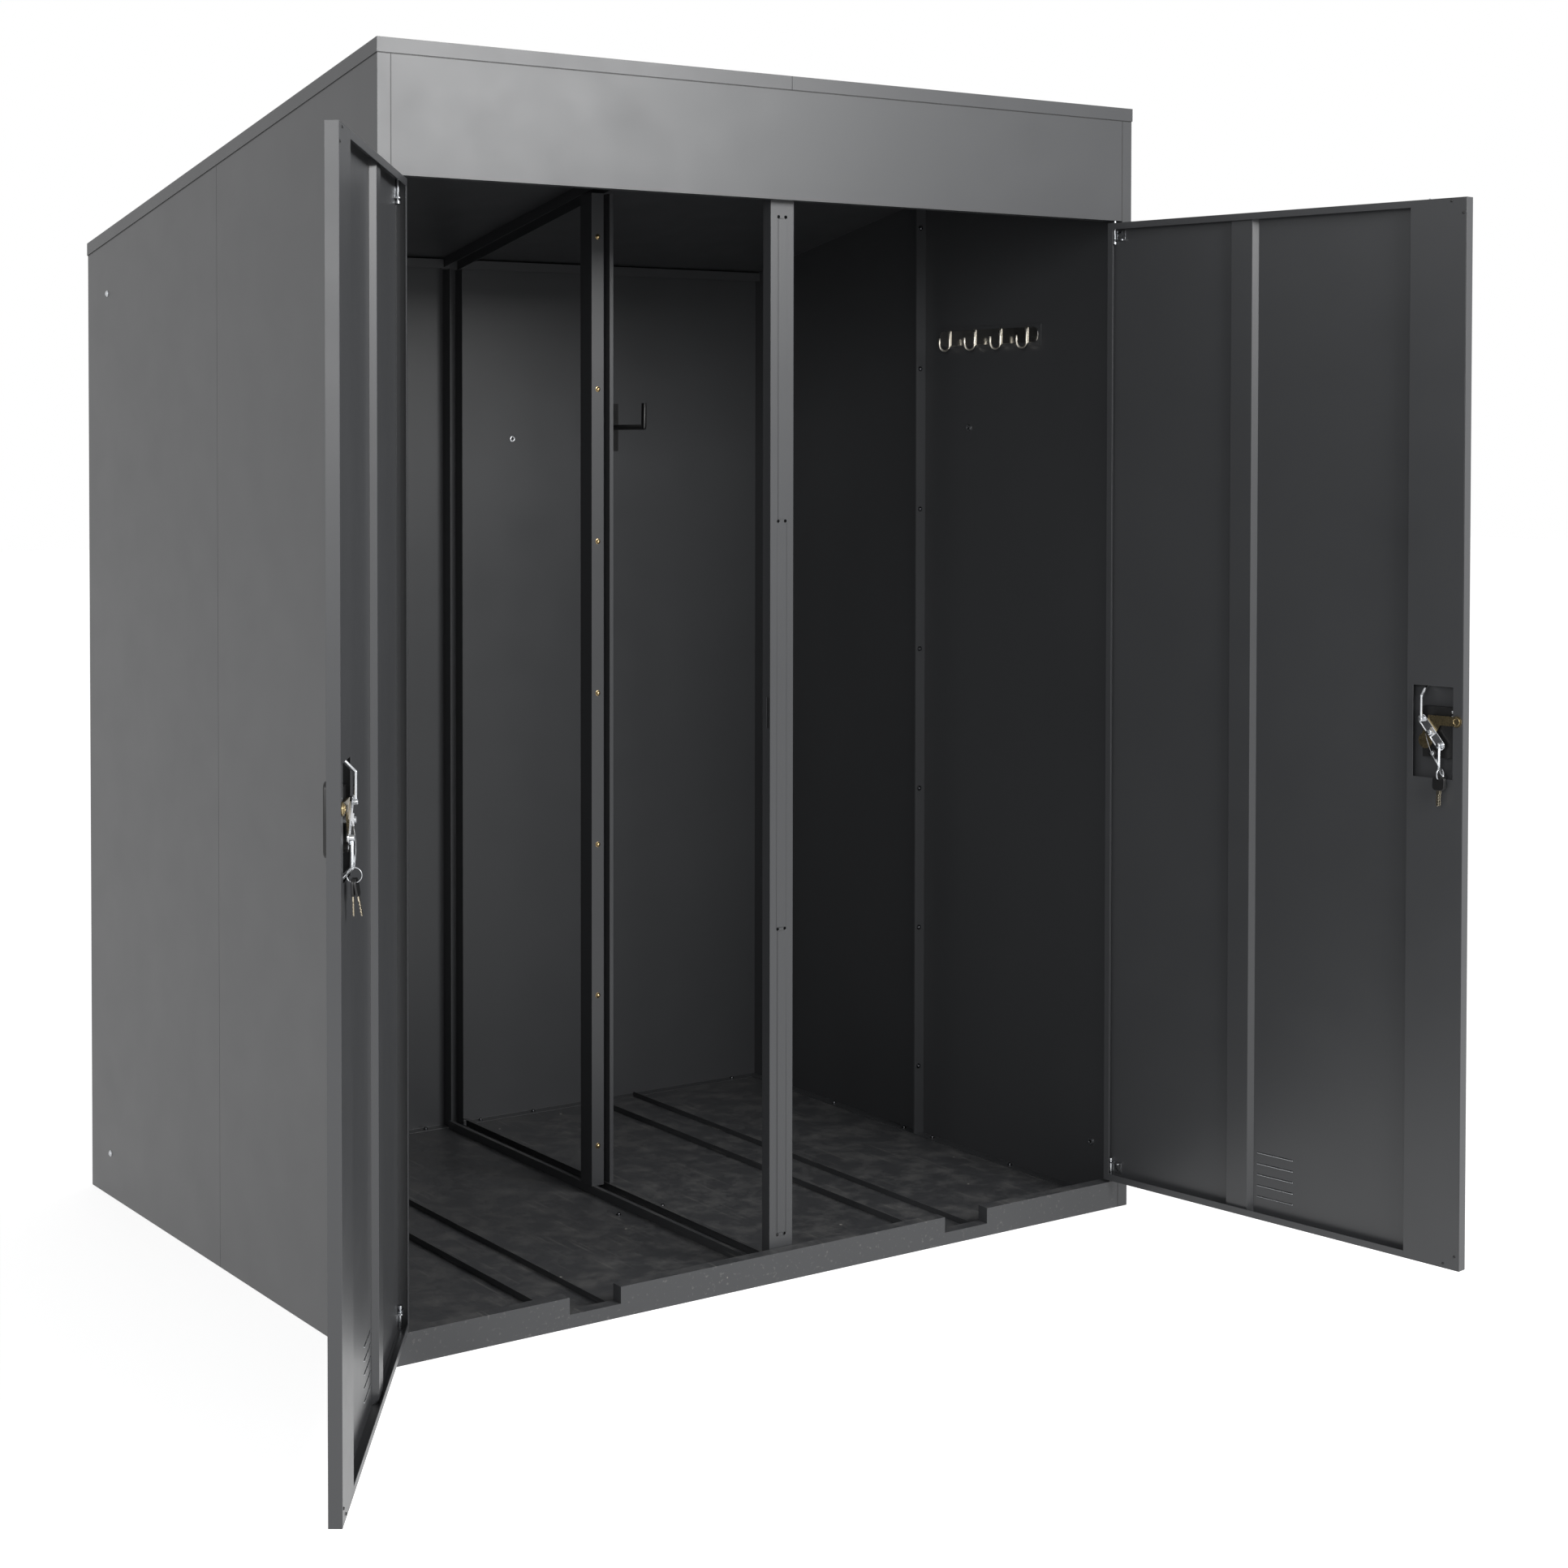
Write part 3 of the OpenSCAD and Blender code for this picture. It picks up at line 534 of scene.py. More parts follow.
def set_out(pattern, name, places, body, keep=False):
    """Copy a pattern to its places, each copy with its own mesh, and join the copies on a body."""
    copies = []
    for place in places:
        copy = bpy.data.objects.new(name, pattern.data.copy())
        copy.data.transform(place)
        if place.determinant() < 0:
            copy.data.flip_normals()
        bpy.context.scene.collection.objects.link(copy)
        copies.append(copy)
    piece = joined(*copies)
    piece.name = name
    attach(piece, body)
    if not keep:
        bpy.data.objects.remove(pattern)
    print(name + ":", len(places), "places,", len(piece.data.polygons), "faces")
    return piece


def facing(x, y, z, outward):
    """The place of a pattern that stands at a point and looks outward."""
    turn = Vector(outward).to_track_quat("Z", "Y").to_matrix().to_4x4()
    return Matrix.Translation((x, y, z)) @ turn


# %% [markdown]
# ## Measures
# The fixings sit on faces of the frame, so their places are taken from the frame's boxes, less the sheet's
# thickness where the face is on the inside.

# %% Measures
SHEET = 1.5 * MM
FRONT, REAR, UP = (0, -1, 0), (0, 1, 0), (0, 0, 1)
side_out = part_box("right_wall_rear")[1].x
side_in = side_out - SHEET
back_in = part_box("back_wall_right")[1].y - SHEET
joint_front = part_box("right_wall_front")[1].y - SHEET
joint_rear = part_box("right_wall_rear")[0].y + SHEET
flange_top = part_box("left_floor")[1].z + SHEET
print("inside:", round(2 * side_in, 4), "m wide, back at", round(back_in, 4))

# %% [markdown]
# ## Bolts
# The wall panels, the floor flanges and the floor track are held with small button-head bolts. A washer is
# turned from a cylinder, its top face is inset and raised in three steps to a crown, and a six-sided cutter
# sinks the socket. The nuts behind the wall joint start as a six-sided cylinder. A profile could be spun
# round the axis instead, but insets need fewer points to place.

# %% Button-head bolt and nut
WASHER_THICK = 1.2 * MM


def button_bolt(head, height, washer):
    """A button-head bolt with a hexagon socket."""
    turned(washer / 2, WASHER_THICK, sides=20)
    pick_top()
    bpy.ops.mesh.inset(thickness=(washer - head) / 2)
    pull(z=height * 0.4)
    bpy.ops.mesh.inset(thickness=head * 0.07, depth=height * 0.35)
    bpy.ops.mesh.inset(thickness=head * 0.14, depth=height * 0.25)
    bolt = done(blackened)
    cut(bolt, turned(head * 0.27, height, WASHER_THICK + height / 2, sides=6))
    return bolt


def hexagon_nut(across, height):
    """A nut with chamfered corners and the bolt's end standing out of it."""
    turned(across / 2, height, sides=6)
    pick("EDGE", lambda at, way: at.z > height * 0.9)
    bpy.ops.mesh.bevel(offset=height * 0.18, segments=2)
    nut = done(blackened)
    turned(across * 0.3, height * 1.5, sides=16)
    pick_top()
    bpy.ops.mesh.bevel(offset=across * 0.05, segments=1)
    return joined(nut, done(blackened))


JOINT_INSET = 15 * MM
JOINT_BOLTS_Z = [(154 + 310 * i) * MM for i in range(7)]
joint_x = side_in - JOINT_INSET
joint_places = [(s * joint_x, z) for s in (-1, 1) for z in JOINT_BOLTS_Z]
set_out(button_bolt(head=8.5 * MM, height=4 * MM, washer=11 * MM), "wall_joint_bolts",
        [facing(x, joint_front, z, FRONT) for x, z in joint_places], "cabinet")
set_out(hexagon_nut(across=9 * MM, height=4 * MM), "wall_joint_nuts",
        [facing(x, joint_rear, z, REAR) for x, z in joint_places], "cabinet")

# %% Floor bolts
FLANGE_MIDDLE = 13.5 * MM
SIDE_BOLTS_Y = [d * (50 + 262 * i) * MM for d in (-1, 1) for i in range(3)]
BACK_BOLTS_X = [x * MM for x in (70, 208, 485, 762)]
TRACK_BOLTS_Y = [(-575 + 265 * i) * MM for i in range(5)]
PAIR_X, PAIR_Y = 52 * MM, -144 * MM
foot_x = side_in - FLANGE_MIDDLE
foot_y = back_in - FLANGE_MIDDLE
track_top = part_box("floor_track")[0].z + SHEET
floor_places = [facing(s * foot_x, y, flange_top, UP) for s in (-1, 1) for y in SIDE_BOLTS_Y]
floor_places += [facing(s * x, foot_y, flange_top, UP) for s in (-1, 1) for x in BACK_BOLTS_X]
floor_places += [facing(0, y, track_top, UP) for y in TRACK_BOLTS_Y]
floor_places += [facing(s * PAIR_X, PAIR_Y, flange_top - SHEET, UP) for s in (-1, 1)]
set_out(button_bolt(head=8 * MM, height=3.5 * MM, washer=10 * MM), "floor_bolts", floor_places,
        "cabinet")

# %% [markdown]
# ## Brass domes on the middle post
# The middle post is riveted to its flange with domed brass heads. A sphere is cut through its middle, the
# half that is left is pressed flat, and a thin collar with a rounded rim is joined to its foot. Insets on a
# cylinder would make a dome too, but a sphere is round from the start.

# %% Brass domes
COLLAR_THICK, COLLAR_ROUND = 0.9 * MM, 0.3 * MM
DOME_FOOT, DOME_SHARE = 0.8 * MM, 0.84
DOMES_X = -11.5 * MM
DOMES_Z = [(102 + 309.5 * i) * MM for i in range(7)]


def dome_head(across, height, finish):
    """A pressed dome with a thin collar."""
    begin()
    bpy.ops.mesh.primitive_uv_sphere_add(segments=20, ring_count=10, radius=across / 2)
    keep_side((0, 0, 0), UP)
    bpy.ops.mesh.select_all(action="SELECT")
    bpy.ops.transform.resize(value=(DOME_SHARE, DOME_SHARE, 2 * height / across), center_override=(0, 0, 0))
    bpy.ops.transform.translate(value=(0, 0, DOME_FOOT))
    dome = done(finish)
    turned(across / 2, COLLAR_THICK, sides=20)
    pick_top()
    bpy.ops.mesh.bevel(offset=COLLAR_ROUND, segments=2)
    return joined(dome, done(finish))


post_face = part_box("mid_post")[0].y
set_out(dome_head(across=11 * MM, height=3.6 * MM, finish=brass), "mid_post_domes",
        [facing(DOMES_X, post_face, z, FRONT) for z in DOMES_Z], "cabinet")

# %% [markdown]
# ## Wall plugs
# Each wall has a few ring plugs with a dark hole in the middle where a fixing passes through the sheet.
# Outside, the same fixings end in plain domes. A ring is a cylinder whose top is inset and then sunk again,
# and the floor of the hole gets the black finish as a second material, as painted shade for the hole's dark
# depth. A hole right through would have to be cut in the frame's sheet, and this one only has to look deep.

# %% Wall plugs
def ring_plug(across, hole, height):
    """A pale ring round a hole whose black floor is painted shade."""
    turned(across / 2, height, sides=28)
    pick_top()
    bpy.ops.mesh.inset(thickness=across * 0.09, depth=height * 0.25)
    bpy.ops.mesh.inset(thickness=(across - hole) / 2 - across * 0.16)
    bpy.ops.mesh.inset(thickness=across * 0.07, depth=-height * 0.3)
    pull(z=-height * 0.7)
    plug = done(zinc, black_abs)
    # The faces of the hole's floor take the black finish: painted shade for the depth of the hole.
    for face in plug.data.polygons:
        face.material_index = int(face.center.xy.length < hole * 0.55 and face.center.z < height * 0.95)
    return plug


SIDE_PLUGS = ((-153, 1573), (-550, 106))
BACK_PLUG_X, BACK_PLUG_Z = 162 * MM, 1548 * MM
OUTER_DOMES = ((549, 1842), (552, 88))
plug_places = [facing(s * side_in, y * MM, z * MM, (-s, 0, 0)) for s in (-1, 1) for y, z in SIDE_PLUGS]
plug_places += [facing(s * BACK_PLUG_X, back_in, BACK_PLUG_Z, FRONT) for s in (-1, 1)]
set_out(ring_plug(across=14 * MM, hole=6 * MM, height=2.4 * MM), "wall_plugs", plug_places,
        "cabinet")
set_out(dome_head(across=13 * MM, height=3 * MM, finish=zinc), "outer_wall_domes",
        [facing(s * side_out, y * MM, z * MM, (s, 0, 0)) for s in (-1, 1) for y, z in OUTER_DOMES],
        "cabinet")

# %% [markdown]
# ## Doors
# The doors stand open in the frame, but their hardware is easier to lay out on a closed door. The left-hand
# door is the pattern. A matrix built from its hinge swings a closed place to where the open door is, and
# the right-hand door takes the same place mirrored and swung the other way.

# %% Door places
door_place = {}
for joint in frame["joints"]:
    side = joint["name"].split("_")[0]
    hinge = Matrix.Translation(joint["pos_m"])
    swing = Matrix.Rotation(math.radians(-joint["range_deg"][0]), 4, Vector(joint["axis"]))
    mirror = Matrix.Scale(1 if side == "left" else -1, 4, (1, 0, 0))
    door_place[side] = hinge @ swing @ hinge.inverted() @ mirror


def closed_box(name):
    """Lowest and highest corner of a piece of the left-hand door, with the door closed."""
    shut = door_place["left"].inverted()
    points = [shut @ point.co for point in frame["nodes"][name].data.vertices]
    return [Vector([pick_end(p[i] for p in points) for i in range(3)]) for pick_end in (min, max)]


def on_doors(pattern, name, places):
    """Set a pattern out on both doors."""
    pieces = []
    for side in ("left", "right"):
        swung = [door_place[side] @ place for place in places]
        pieces.append(set_out(pattern, side + "_" + name, swung, side + "_door", keep=True))
    bpy.data.objects.remove(pattern)
    return pieces


def inside_door(x, y, z, turn=0.0):
    """A place on the closed door's inner side, where a pattern looks into the locker."""
    return (Matrix.Translation((x, y, z)) @ Matrix.Rotation(-math.pi / 2, 4, "X")
            @ Matrix.Rotation(-math.radians(turn), 4, "Z"))


panel_low, panel_high = closed_box("left_door_panel")
pins_low, pins_high = closed_box("left_hinge_pins")
cam_low, cam_high = closed_box("left_lock_cam")
latch_high = closed_box("left_latch")[1]
case_high = closed_box("left_lock_case")[1]
lock = (cam_low + cam_high) / 2
pin = (pins_low + pins_high) / 2
print("lock middle", [round(v, 4) for v in lock], "pin", [round(v, 4) for v in pin])

# %% [markdown]
# ## Hinges
# Each door turns on two pins. A pin passes through the door's lip and through the tab of a small bracket
# that is welded to the skin, and a collar keeps it from sliding out. The bracket starts as a plate: the
# foot of the plate is extruded into a tab, and the tab is drawn out round the pin. The collar is flat where
# it meets the skin. Extruding keeps plate and tab in one piece, as a bent part is.

# %% Hinge brackets
BRACKET = Vector((21, 1.5, 18)) * MM
BRACKET_GAP = 4 * MM
TAB_DROP, TAB_THICK, TAB_DEPTH, TAB_REACH = 50 * MM, 2 * MM, 9 * MM, 9.5 * MM
COLLAR_DROP, COLLAR_RADIUS, COLLAR_HEIGHT = 57 * MM, 4.6 * MM, 5 * MM


def hinge_bracket():
    """Plate and tab for the upper pin of the closed left-hand door, with a collar under the tab."""
    skin = panel_low.y + SHEET
    low = Vector((pin.x + BRACKET_GAP, skin, pins_high.z - TAB_DROP + TAB_THICK))
    block(BRACKET, low + BRACKET / 2)
    pick("FACE", lambda at, way: way.z < -0.9)
    pull(z=-TAB_THICK)
    pick("FACE", lambda at, way: way.y > 0.9 and at.z < low.z)
    pull(y=TAB_DEPTH)
    pick("FACE", lambda at, way: way.x < -0.9 and at.z < low.z)
    pull(x=-TAB_REACH)
    pick("EDGE", lambda at, way: abs(way.z) > 0.9 and at.z < low.z and at.y > skin + TAB_DEPTH / 2)
    bpy.ops.mesh.bevel(offset=3 * MM, segments=4)
    bracket = done(zinc)
    apply_modifier(bracket, "BEVEL", width=0.3 * MM, segments=2)
    turned(COLLAR_RADIUS, COLLAR_HEIGHT, pins_high.z - COLLAR_DROP, sides=24, at=pin.xy)
    keep_side((0, skin + 0.05 * MM, 0), REAR)
    collar = done(zinc)
    soften(collar, 0.5 * MM)
    return joined(bracket, collar)


door_middle = (panel_low.z + panel_high.z) / 2
upside_down = (Matrix.Translation((0, 0, door_middle)) @ Matrix.Scale(-1, 4, (0, 0, 1))
               @ Matrix.Translation((0, 0, -door_middle)))
on_doors(hinge_bracket(), "hinge_brackets", [Matrix.Identity(4), upside_down])

# %% [markdown]
# ## Lock crank
# Behind the window, a crank turns with the key and pulls both rods. It is a channel pressed from plate: a
# cylinder is drawn out to a long plate with round ends, its top is inset, and the middle is sunk so that a
# rim stays. A square block with a screw holds it on the spindle, and a rivet holds each rod's end. Pulling
# a cylinder's halves apart gives round ends at once, where a block would need its corners rounded. The
# crank replaces the plain one of the frame.

# %% Lock crank
CRANK_REACH = 29 * MM
CRANK_WIDTH = 18 * MM
CRANK_TURN = 129
HUB, HUB_FOOT = Vector((13, 13, 6)) * MM, 1.5 * MM
SCREW_RADIUS, SCREW_HEIGHT, SCREW_FOOT = 5 * MM, 2.4 * MM, 7.4 * MM
SLOT, SLOT_MIDDLE = Vector((12, 1.3, 2.2)) * MM, 10.6 * MM
SPINDLE_RADIUS = 5 * MM
RIVET_RADIUS, RIVET_HEIGHT, RIVET_FOOT = 4.6 * MM, 8.6 * MM, 1 * MM
crank_foot = latch_high.y
crank_face = 3 * MM


def lock_crank():
    """The crank, looking up, with its spindle below z = 0."""
    turned(CRANK_WIDTH / 2, crank_face)
    for way in (-1, 1):
        pick("VERT", lambda at, normal: at.x * way > 0.1 * MM)
        bpy.ops.transform.translate(value=(way * CRANK_REACH, 0, 0))
    pick_top()
    bpy.ops.mesh.inset(thickness=1.8 * MM)
    bpy.ops.mesh.inset(thickness=0.5 * MM, depth=-1.6 * MM)
    crank = done(chrome)
    soften(crank, 0.35 * MM)

    block(HUB, (0, 0, HUB_FOOT + HUB.z / 2))
    pick("EDGE", lambda at, way: at.z > HUB_FOOT + HUB.z * 0.9)
    bpy.ops.mesh.bevel(offset=0.9 * MM, segments=2)
    hub = done(chrome)

    turned(SCREW_RADIUS, SCREW_HEIGHT, SCREW_FOOT, sides=28)
    pick_top()
    bpy.ops.mesh.inset(thickness=0.9 * MM, depth=0.7 * MM)
    screw = done(zinc)
    cut(screw, block(SLOT, (0, 0, SLOT_MIDDLE)))

    spindle = crank_foot - case_high.y
    turned(SPINDLE_RADIUS, spindle, -spindle, sides=24)
    pick("FACE", lambda at, way: way.z < -0.9)
    bpy.ops.mesh.inset(thickness=0.4 * MM, depth=0.2 * MM)
    pieces = [crank, hub, screw, done(zinc)]
    for way in (-1, 1):
        turned(RIVET_RADIUS, RIVET_HEIGHT, RIVET_FOOT, sides=24, at=(way * CRANK_REACH, 0))
        pick_top()
        bpy.ops.mesh.inset(thickness=0.8 * MM, depth=0.7 * MM)
        bpy.ops.mesh.inset(thickness=1.6 * MM, depth=0.5 * MM)
        pieces.append(done(zinc))
    return joined(*pieces)


crank_place = inside_door(lock.x, crank_foot, lock.z, CRANK_TURN)
for crank in on_doors(lock_crank(), "lock_crank", [crank_place]):
    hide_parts(crank.name.replace("crank", "cam"))

# %% [markdown]
# ## Latch nose, case screws and boss
# The latch's nose carries a raised ring, worn bright. Two small pan-head screws hold the case at its free
# side, and a black boss with a screw closes the case below the crank. All are low cylinders shaped by
# insets, because their faces are flat and only their rims are round.

# %% Latch ring
def raised_ring(outer, inner, height, finish):
    """A low ring with rounded rims."""
    turned(outer / 2, height)
    pick_top()
    bpy.ops.mesh.inset(thickness=(outer - inner) / 2)
    pull(z=-height * 0.85)
    ring = done(finish)
    soften(ring, height * 0.3, segments=3)
    return ring


LATCH_RISE = 22 * MM
NOSE_RADIUS = 10 * MM
on_doors(raised_ring(outer=15 * MM, inner=10.5 * MM, height=1.4 * MM, finish=yellow_zinc), "latch_ring",
         [inside_door(latch_high.x - NOSE_RADIUS, latch_high.y, lock.z + LATCH_RISE)])

# %% Case screws and boss
def pan_screw(across, height, finish):
    """A pan-head screw with a slot."""
    turned(across / 2, height * 0.6, sides=20)
    pick_top()
    bpy.ops.mesh.inset(thickness=across * 0.12, depth=height * 0.3)
    bpy.ops.mesh.inset(thickness=across * 0.14, depth=height * 0.1)
    screw = done(finish)
    cut(screw, block((across * 1.2, across * 0.16, height * 0.7), (0, 0, height)))
    return screw


def case_boss(across, height):
    """A round black boss with a dished top."""
    turned(across / 2, height)
    pick_top()
    bpy.ops.mesh.inset(thickness=across * 0.08, depth=height * 0.12)
    bpy.ops.mesh.inset(thickness=across * 0.1)
    bpy.ops.mesh.inset(thickness=across * 0.05, depth=-height * 0.25)
    return done(black_abs)


# Across and up from the lock's middle in millimetres, and the slot's turn in degrees
CASE_SCREWS = ((37, 38, 20), (37, 29, 70))
BOSS_DROP = 38 * MM
BOSS_HEIGHT = 6 * MM
on_doors(pan_screw(across=5 * MM, height=2 * MM, finish=zinc), "case_screws",
         [inside_door(lock.x + x * MM, case_high.y, lock.z + z * MM, turn) for x, z, turn in CASE_SCREWS])
on_doors(case_boss(across=14 * MM, height=BOSS_HEIGHT), "case_boss",
         [inside_door(lock.x, case_high.y, lock.z - BOSS_DROP)])
on_doors(pan_screw(across=8 * MM, height=2.6 * MM, finish=zinc), "boss_screw",
         [inside_door(lock.x, case_high.y + BOSS_HEIGHT * 0.85, lock.z - BOSS_DROP, turn=35)])

# %% [markdown]
# ## Keys
# Two keys hang on a split ring, which a thin stiff wire holds on the crank. The ring is a small circle that
# the Screw modifier winds round almost twice, so that its ends overlap as on a real one. A key's head is a
# block with rounded corners and a hole, its blade a bar whose one edge is moved in and out for the notches.
# The keys hang spread on one door and side by side on the other.

# %% Key ring and wire
RING_RADIUS = 10.5 * MM
RING_WIRE = 1.3 * MM
RING_TURN = 680
RING_PLACE = Vector((22, 13, -73)) * MM
WIRE_HOLD = Vector((-11, 0, -4)) * MM
WIRE_THICK, WIRE_BOW, WIRE_STEPS = 1.1 * MM, 3 * MM, 12
CRIMP_RADIUS, CRIMP_LENGTH, CRIMP_SHARE = 1.7 * MM, 9 * MM, 0.84
ring_middle = Vector((lock.x, panel_high.y, lock.z)) + RING_PLACE


def split_ring():
    """A wire wound round almost twice, about the x axis."""
    begin()
    bpy.ops.mesh.primitive_circle_add(vertices=10, radius=RING_WIRE / 2, location=(RING_RADIUS, 0, 0),
                                      rotation=(math.pi / 2, 0, 0))
    bpy.ops.object.transform_apply(location=True, rotation=True)
    ring = bpy.context.object
    apply_modifier(ring, "SCREW", axis="Z", angle=math.radians(RING_TURN), steps=96,
                   screw_offset=RING_WIRE * 1.05 * RING_TURN / 360, use_normal_calculate=True)
    bpy.ops.object.mode_set(mode="EDIT")
    bpy.ops.mesh.select_all(action="SELECT")
    bpy.ops.mesh.fill_holes(sides=12)
    bpy.ops.mesh.select_all(action="SELECT")
    bpy.ops.mesh.normals_make_consistent(inside=False)
    ring = done(zinc)
    ring.data.transform(Matrix.Rotation(math.pi / 2, 4, "Y"))
    return ring


def wire_between(start, end, finish):
    """A stiff wire with a slight bow, ending in a crimp."""
    path = bpy.data.curves.new("wire", "CURVE")
    path.dimensions = "3D"
    path.bevel_depth, path.bevel_resolution, path.use_fill_caps = WIRE_THICK / 2, 2, True
    line = path.splines.new("POLY")
    line.points.add(WIRE_STEPS)
    for i, point in enumerate(line.points):
        share = i / WIRE_STEPS
        bow = math.sin(math.pi * share) * WIRE_BOW
        point.co = (*(start.lerp(end, share) + Vector((-bow * 0.5, bow, 0))), 1)
    begin()
    wire = bpy.data.objects.new("wire", path)
    bpy.context.scene.collection.objects.link(wire)
    wire.select_set(True)
    bpy.context.view_layer.objects.active = wire
    bpy.ops.object.convert(target="MESH")
    wire = done(finish)
    turned(CRIMP_RADIUS, CRIMP_LENGTH, -CRIMP_LENGTH / 2, sides=16)
    pick_top()
    bpy.ops.mesh.inset(thickness=0.9 * MM, depth=3 * MM)
    crimp = done(finish)
    crimp.data.transform(facing(*(start.lerp(end, CRIMP_SHARE)), start - end))
    return joined(wire, crimp)


on_doors(split_ring(), "key_ring", [Matrix.Translation(ring_middle)])
wire_start = Vector((lock.x, crank_foot + crank_face, lock.z)) + WIRE_HOLD
wire_end = ring_middle + Vector((0, 0, RING_RADIUS))
on_doors(wire_between(wire_start, wire_end, zinc), "key_wire", [Matrix.Identity(4)])

# %% Keys
HEAD = Vector((24, 3.4, 25)) * MM
BLADE = Vector((6.5, 2, 30)) * MM
HEAD_CORNER = 7 * MM
KEY_HOLE, HOLE_RADIUS = 5 * MM, 2.6 * MM
BLADE_SUNK = 2 * MM
NOTCH, NOTCH_DEPTH = 2.5 * MM, 1.7 * MM


def key(blade_finish):
    """A key that hangs from its hole at the origin, its face along x."""
    block(HEAD, (0, 0, KEY_HOLE - HEAD.z / 2))
    pick("EDGE", lambda at, way: abs(way.y) > 0.9)
    bpy.ops.mesh.bevel(offset=HEAD_CORNER, segments=6)
    head = done(black_abs)
    soften(head, 0.7 * MM)
    cut(head, turned(HOLE_RADIUS, 3 * HEAD.y, -1.5 * HEAD.y, sides=20, turn=(math.pi / 2, 0, 0)))

    blade_top = KEY_HOLE - HEAD.z
    block(BLADE, (0, 0, blade_top - BLADE.z / 2 + BLADE_SUNK))
    pick("EDGE", lambda at, way: abs(way.z) > 0.9)
    bpy.ops.mesh.subdivide(number_cuts=11)
    pick("VERT", lambda at, way: (at.x > 0 and at.z < blade_top - 2 * NOTCH
                                  and round((blade_top - at.z) / NOTCH) % 2))
    bpy.ops.transform.translate(value=(-NOTCH_DEPTH, 0, 0))
    pick("VERT", lambda at, way: at.z < blade_top - BLADE.z + NOTCH)
    bpy.ops.transform.resize(value=(0.45, 1, 1), center_override=(-1 * MM, 0, 0))
    blade = done(blade_finish)
    soften(blade, 0.25 * MM, segments=1, angle=60)
    return joined(head, blade)


# Along the ring in millimetres, then tilt and turn in degrees, for each key
KEY_HANG = {"left": ((-2.0, 1, 2), (2.0, 10, -3)), "right": ((-2.0, 2, 2), (2.0, 4, 2))}
KEY_LIFT = 1.2 * MM
ring_foot = ring_middle - Vector((0, 0, RING_RADIUS))
key_pattern = key(nickel_silver)
for side, hang in KEY_HANG.items():
    places = [door_place[side] @ Matrix.Translation(ring_foot + Vector((0, y * MM, KEY_LIFT)))
              @ Matrix.Rotation(math.radians(tilt), 4, "X") @ Matrix.Rotation(math.radians(turn), 4, "Z")
              for y, tilt, turn in hang]
    set_out(key_pattern, side + "_keys", places, side + "_door", keep=True)
bpy.data.objects.remove(key_pattern)

# %% [markdown]
# ## Outer handle
# Outside, a moulded plate carries a lever that stands about twelve millimetres out of the door, and the key
# goes into a steel barrel in the lever's middle. Plate and lever are cylinders whose halves are pulled
# apart, as for the crank, and a Bevel softens their rims. The lever's face is inset and sunk a little. They
# replace the plain handle of the frame.

# %% Outer handle
HANDLE_PLATE = Vector((34, 112, 3)) * MM
HANDLE_LEVER = Vector((23, 106, 9)) * MM
PLATE_RIM, LEVER_RIM = 0.8 * MM, 1.8 * MM
LEVER_DISH = 0.6 * MM


def round_ended_bar(size, foot, rim):
    """A black bar along y with round ends and soft rims."""
    turned(size.x / 2, size.z, foot, sides=40)
    for way in (-1, 1):
        pick("VERT", lambda at, normal: at.y * way > 0.1 * MM)
        bpy.ops.transform.translate(value=(0, way * (size.y - size.x) / 2, 0))
    bar = done(black_abs)
    soften(bar, rim, segments=3)
    return bar


def outer_handle():
    """Plate and lever, looking up."""
    plate = round_ended_bar(HANDLE_PLATE, 0, PLATE_RIM)
    lever = round_ended_bar(HANDLE_LEVER, HANDLE_PLATE.z, LEVER_RIM)
    pick("FACE", lambda at, way: way.z > 0.99)
    bpy.ops.mesh.inset(thickness=1.6 * MM)
    bpy.ops.mesh.inset(thickness=0.5 * MM, depth=-LEVER_DISH)
    bpy.ops.object.mode_set(mode="OBJECT")
    return joined(plate, lever)


handle_place = facing(lock.x, panel_low.y, lock.z, FRONT)
for handle in on_doors(outer_handle(), "outer_handle", [handle_place]):
    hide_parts(handle.name.replace("outer_handle", "handle"))

# %% Key barrel
KEY_SLOT = Vector((2.4, 8.5)) * MM


def key_barrel(across, height):
    """A lock barrel with a rounded rim and a key slot."""
    turned(across / 2, height)
    pick_top()
    bpy.ops.mesh.inset(thickness=across * 0.07, depth=height * 0.3)
    bpy.ops.mesh.inset(thickness=across * 0.08)
    bpy.ops.mesh.inset(thickness=across * 0.03, depth=-height * 0.3)
    barrel = done(zinc)
    cut(barrel, block((KEY_SLOT.x, KEY_SLOT.y, height * 1.4), (0, 0, height * 1.1)))
    return barrel


lever_face = panel_low.y - HANDLE_PLATE.z - HANDLE_LEVER.z + LEVER_DISH
on_doors(key_barrel(across=13 * MM, height=0.8 * MM), "key_barrel",
         [facing(lock.x, lever_face, lock.z, FRONT)])

# %% [markdown]
# ## Coat rail
# A polished steel plate with round ends lies on the coat rail and mirrors the hooks. Each hook is held on
# it by a flat upright strap with a screw. Plate and strap are thin blocks whose corners are rounded in edit
# mode, so one function makes both.

# %% Coat rail
def round_ended_plate(size, corner, steps, rim, finish):
    """A flat plate with round ends and soft rims."""
    block(size, (0, 0, size[2] / 2))
    pick("EDGE", lambda at, way: abs(way.z) > 0.9)
    bpy.ops.mesh.bevel(offset=corner, segments=steps)
    plate = done(finish)
    soften(plate, rim)
    return plate


def hook_strap(width, height, thick):
    """A flat strap with a screw in its upper half."""
    strap = round_ended_plate((width, height, thick), corner=width * 0.48, steps=6, rim=0.3 * MM,
                              finish=satin_nickel)
    screw = pan_screw(across=4.5 * MM, height=1.6 * MM, finish=zinc)
    screw.data.transform(Matrix.Translation((0, -height * 0.3, thick)))
    return joined(strap, screw)


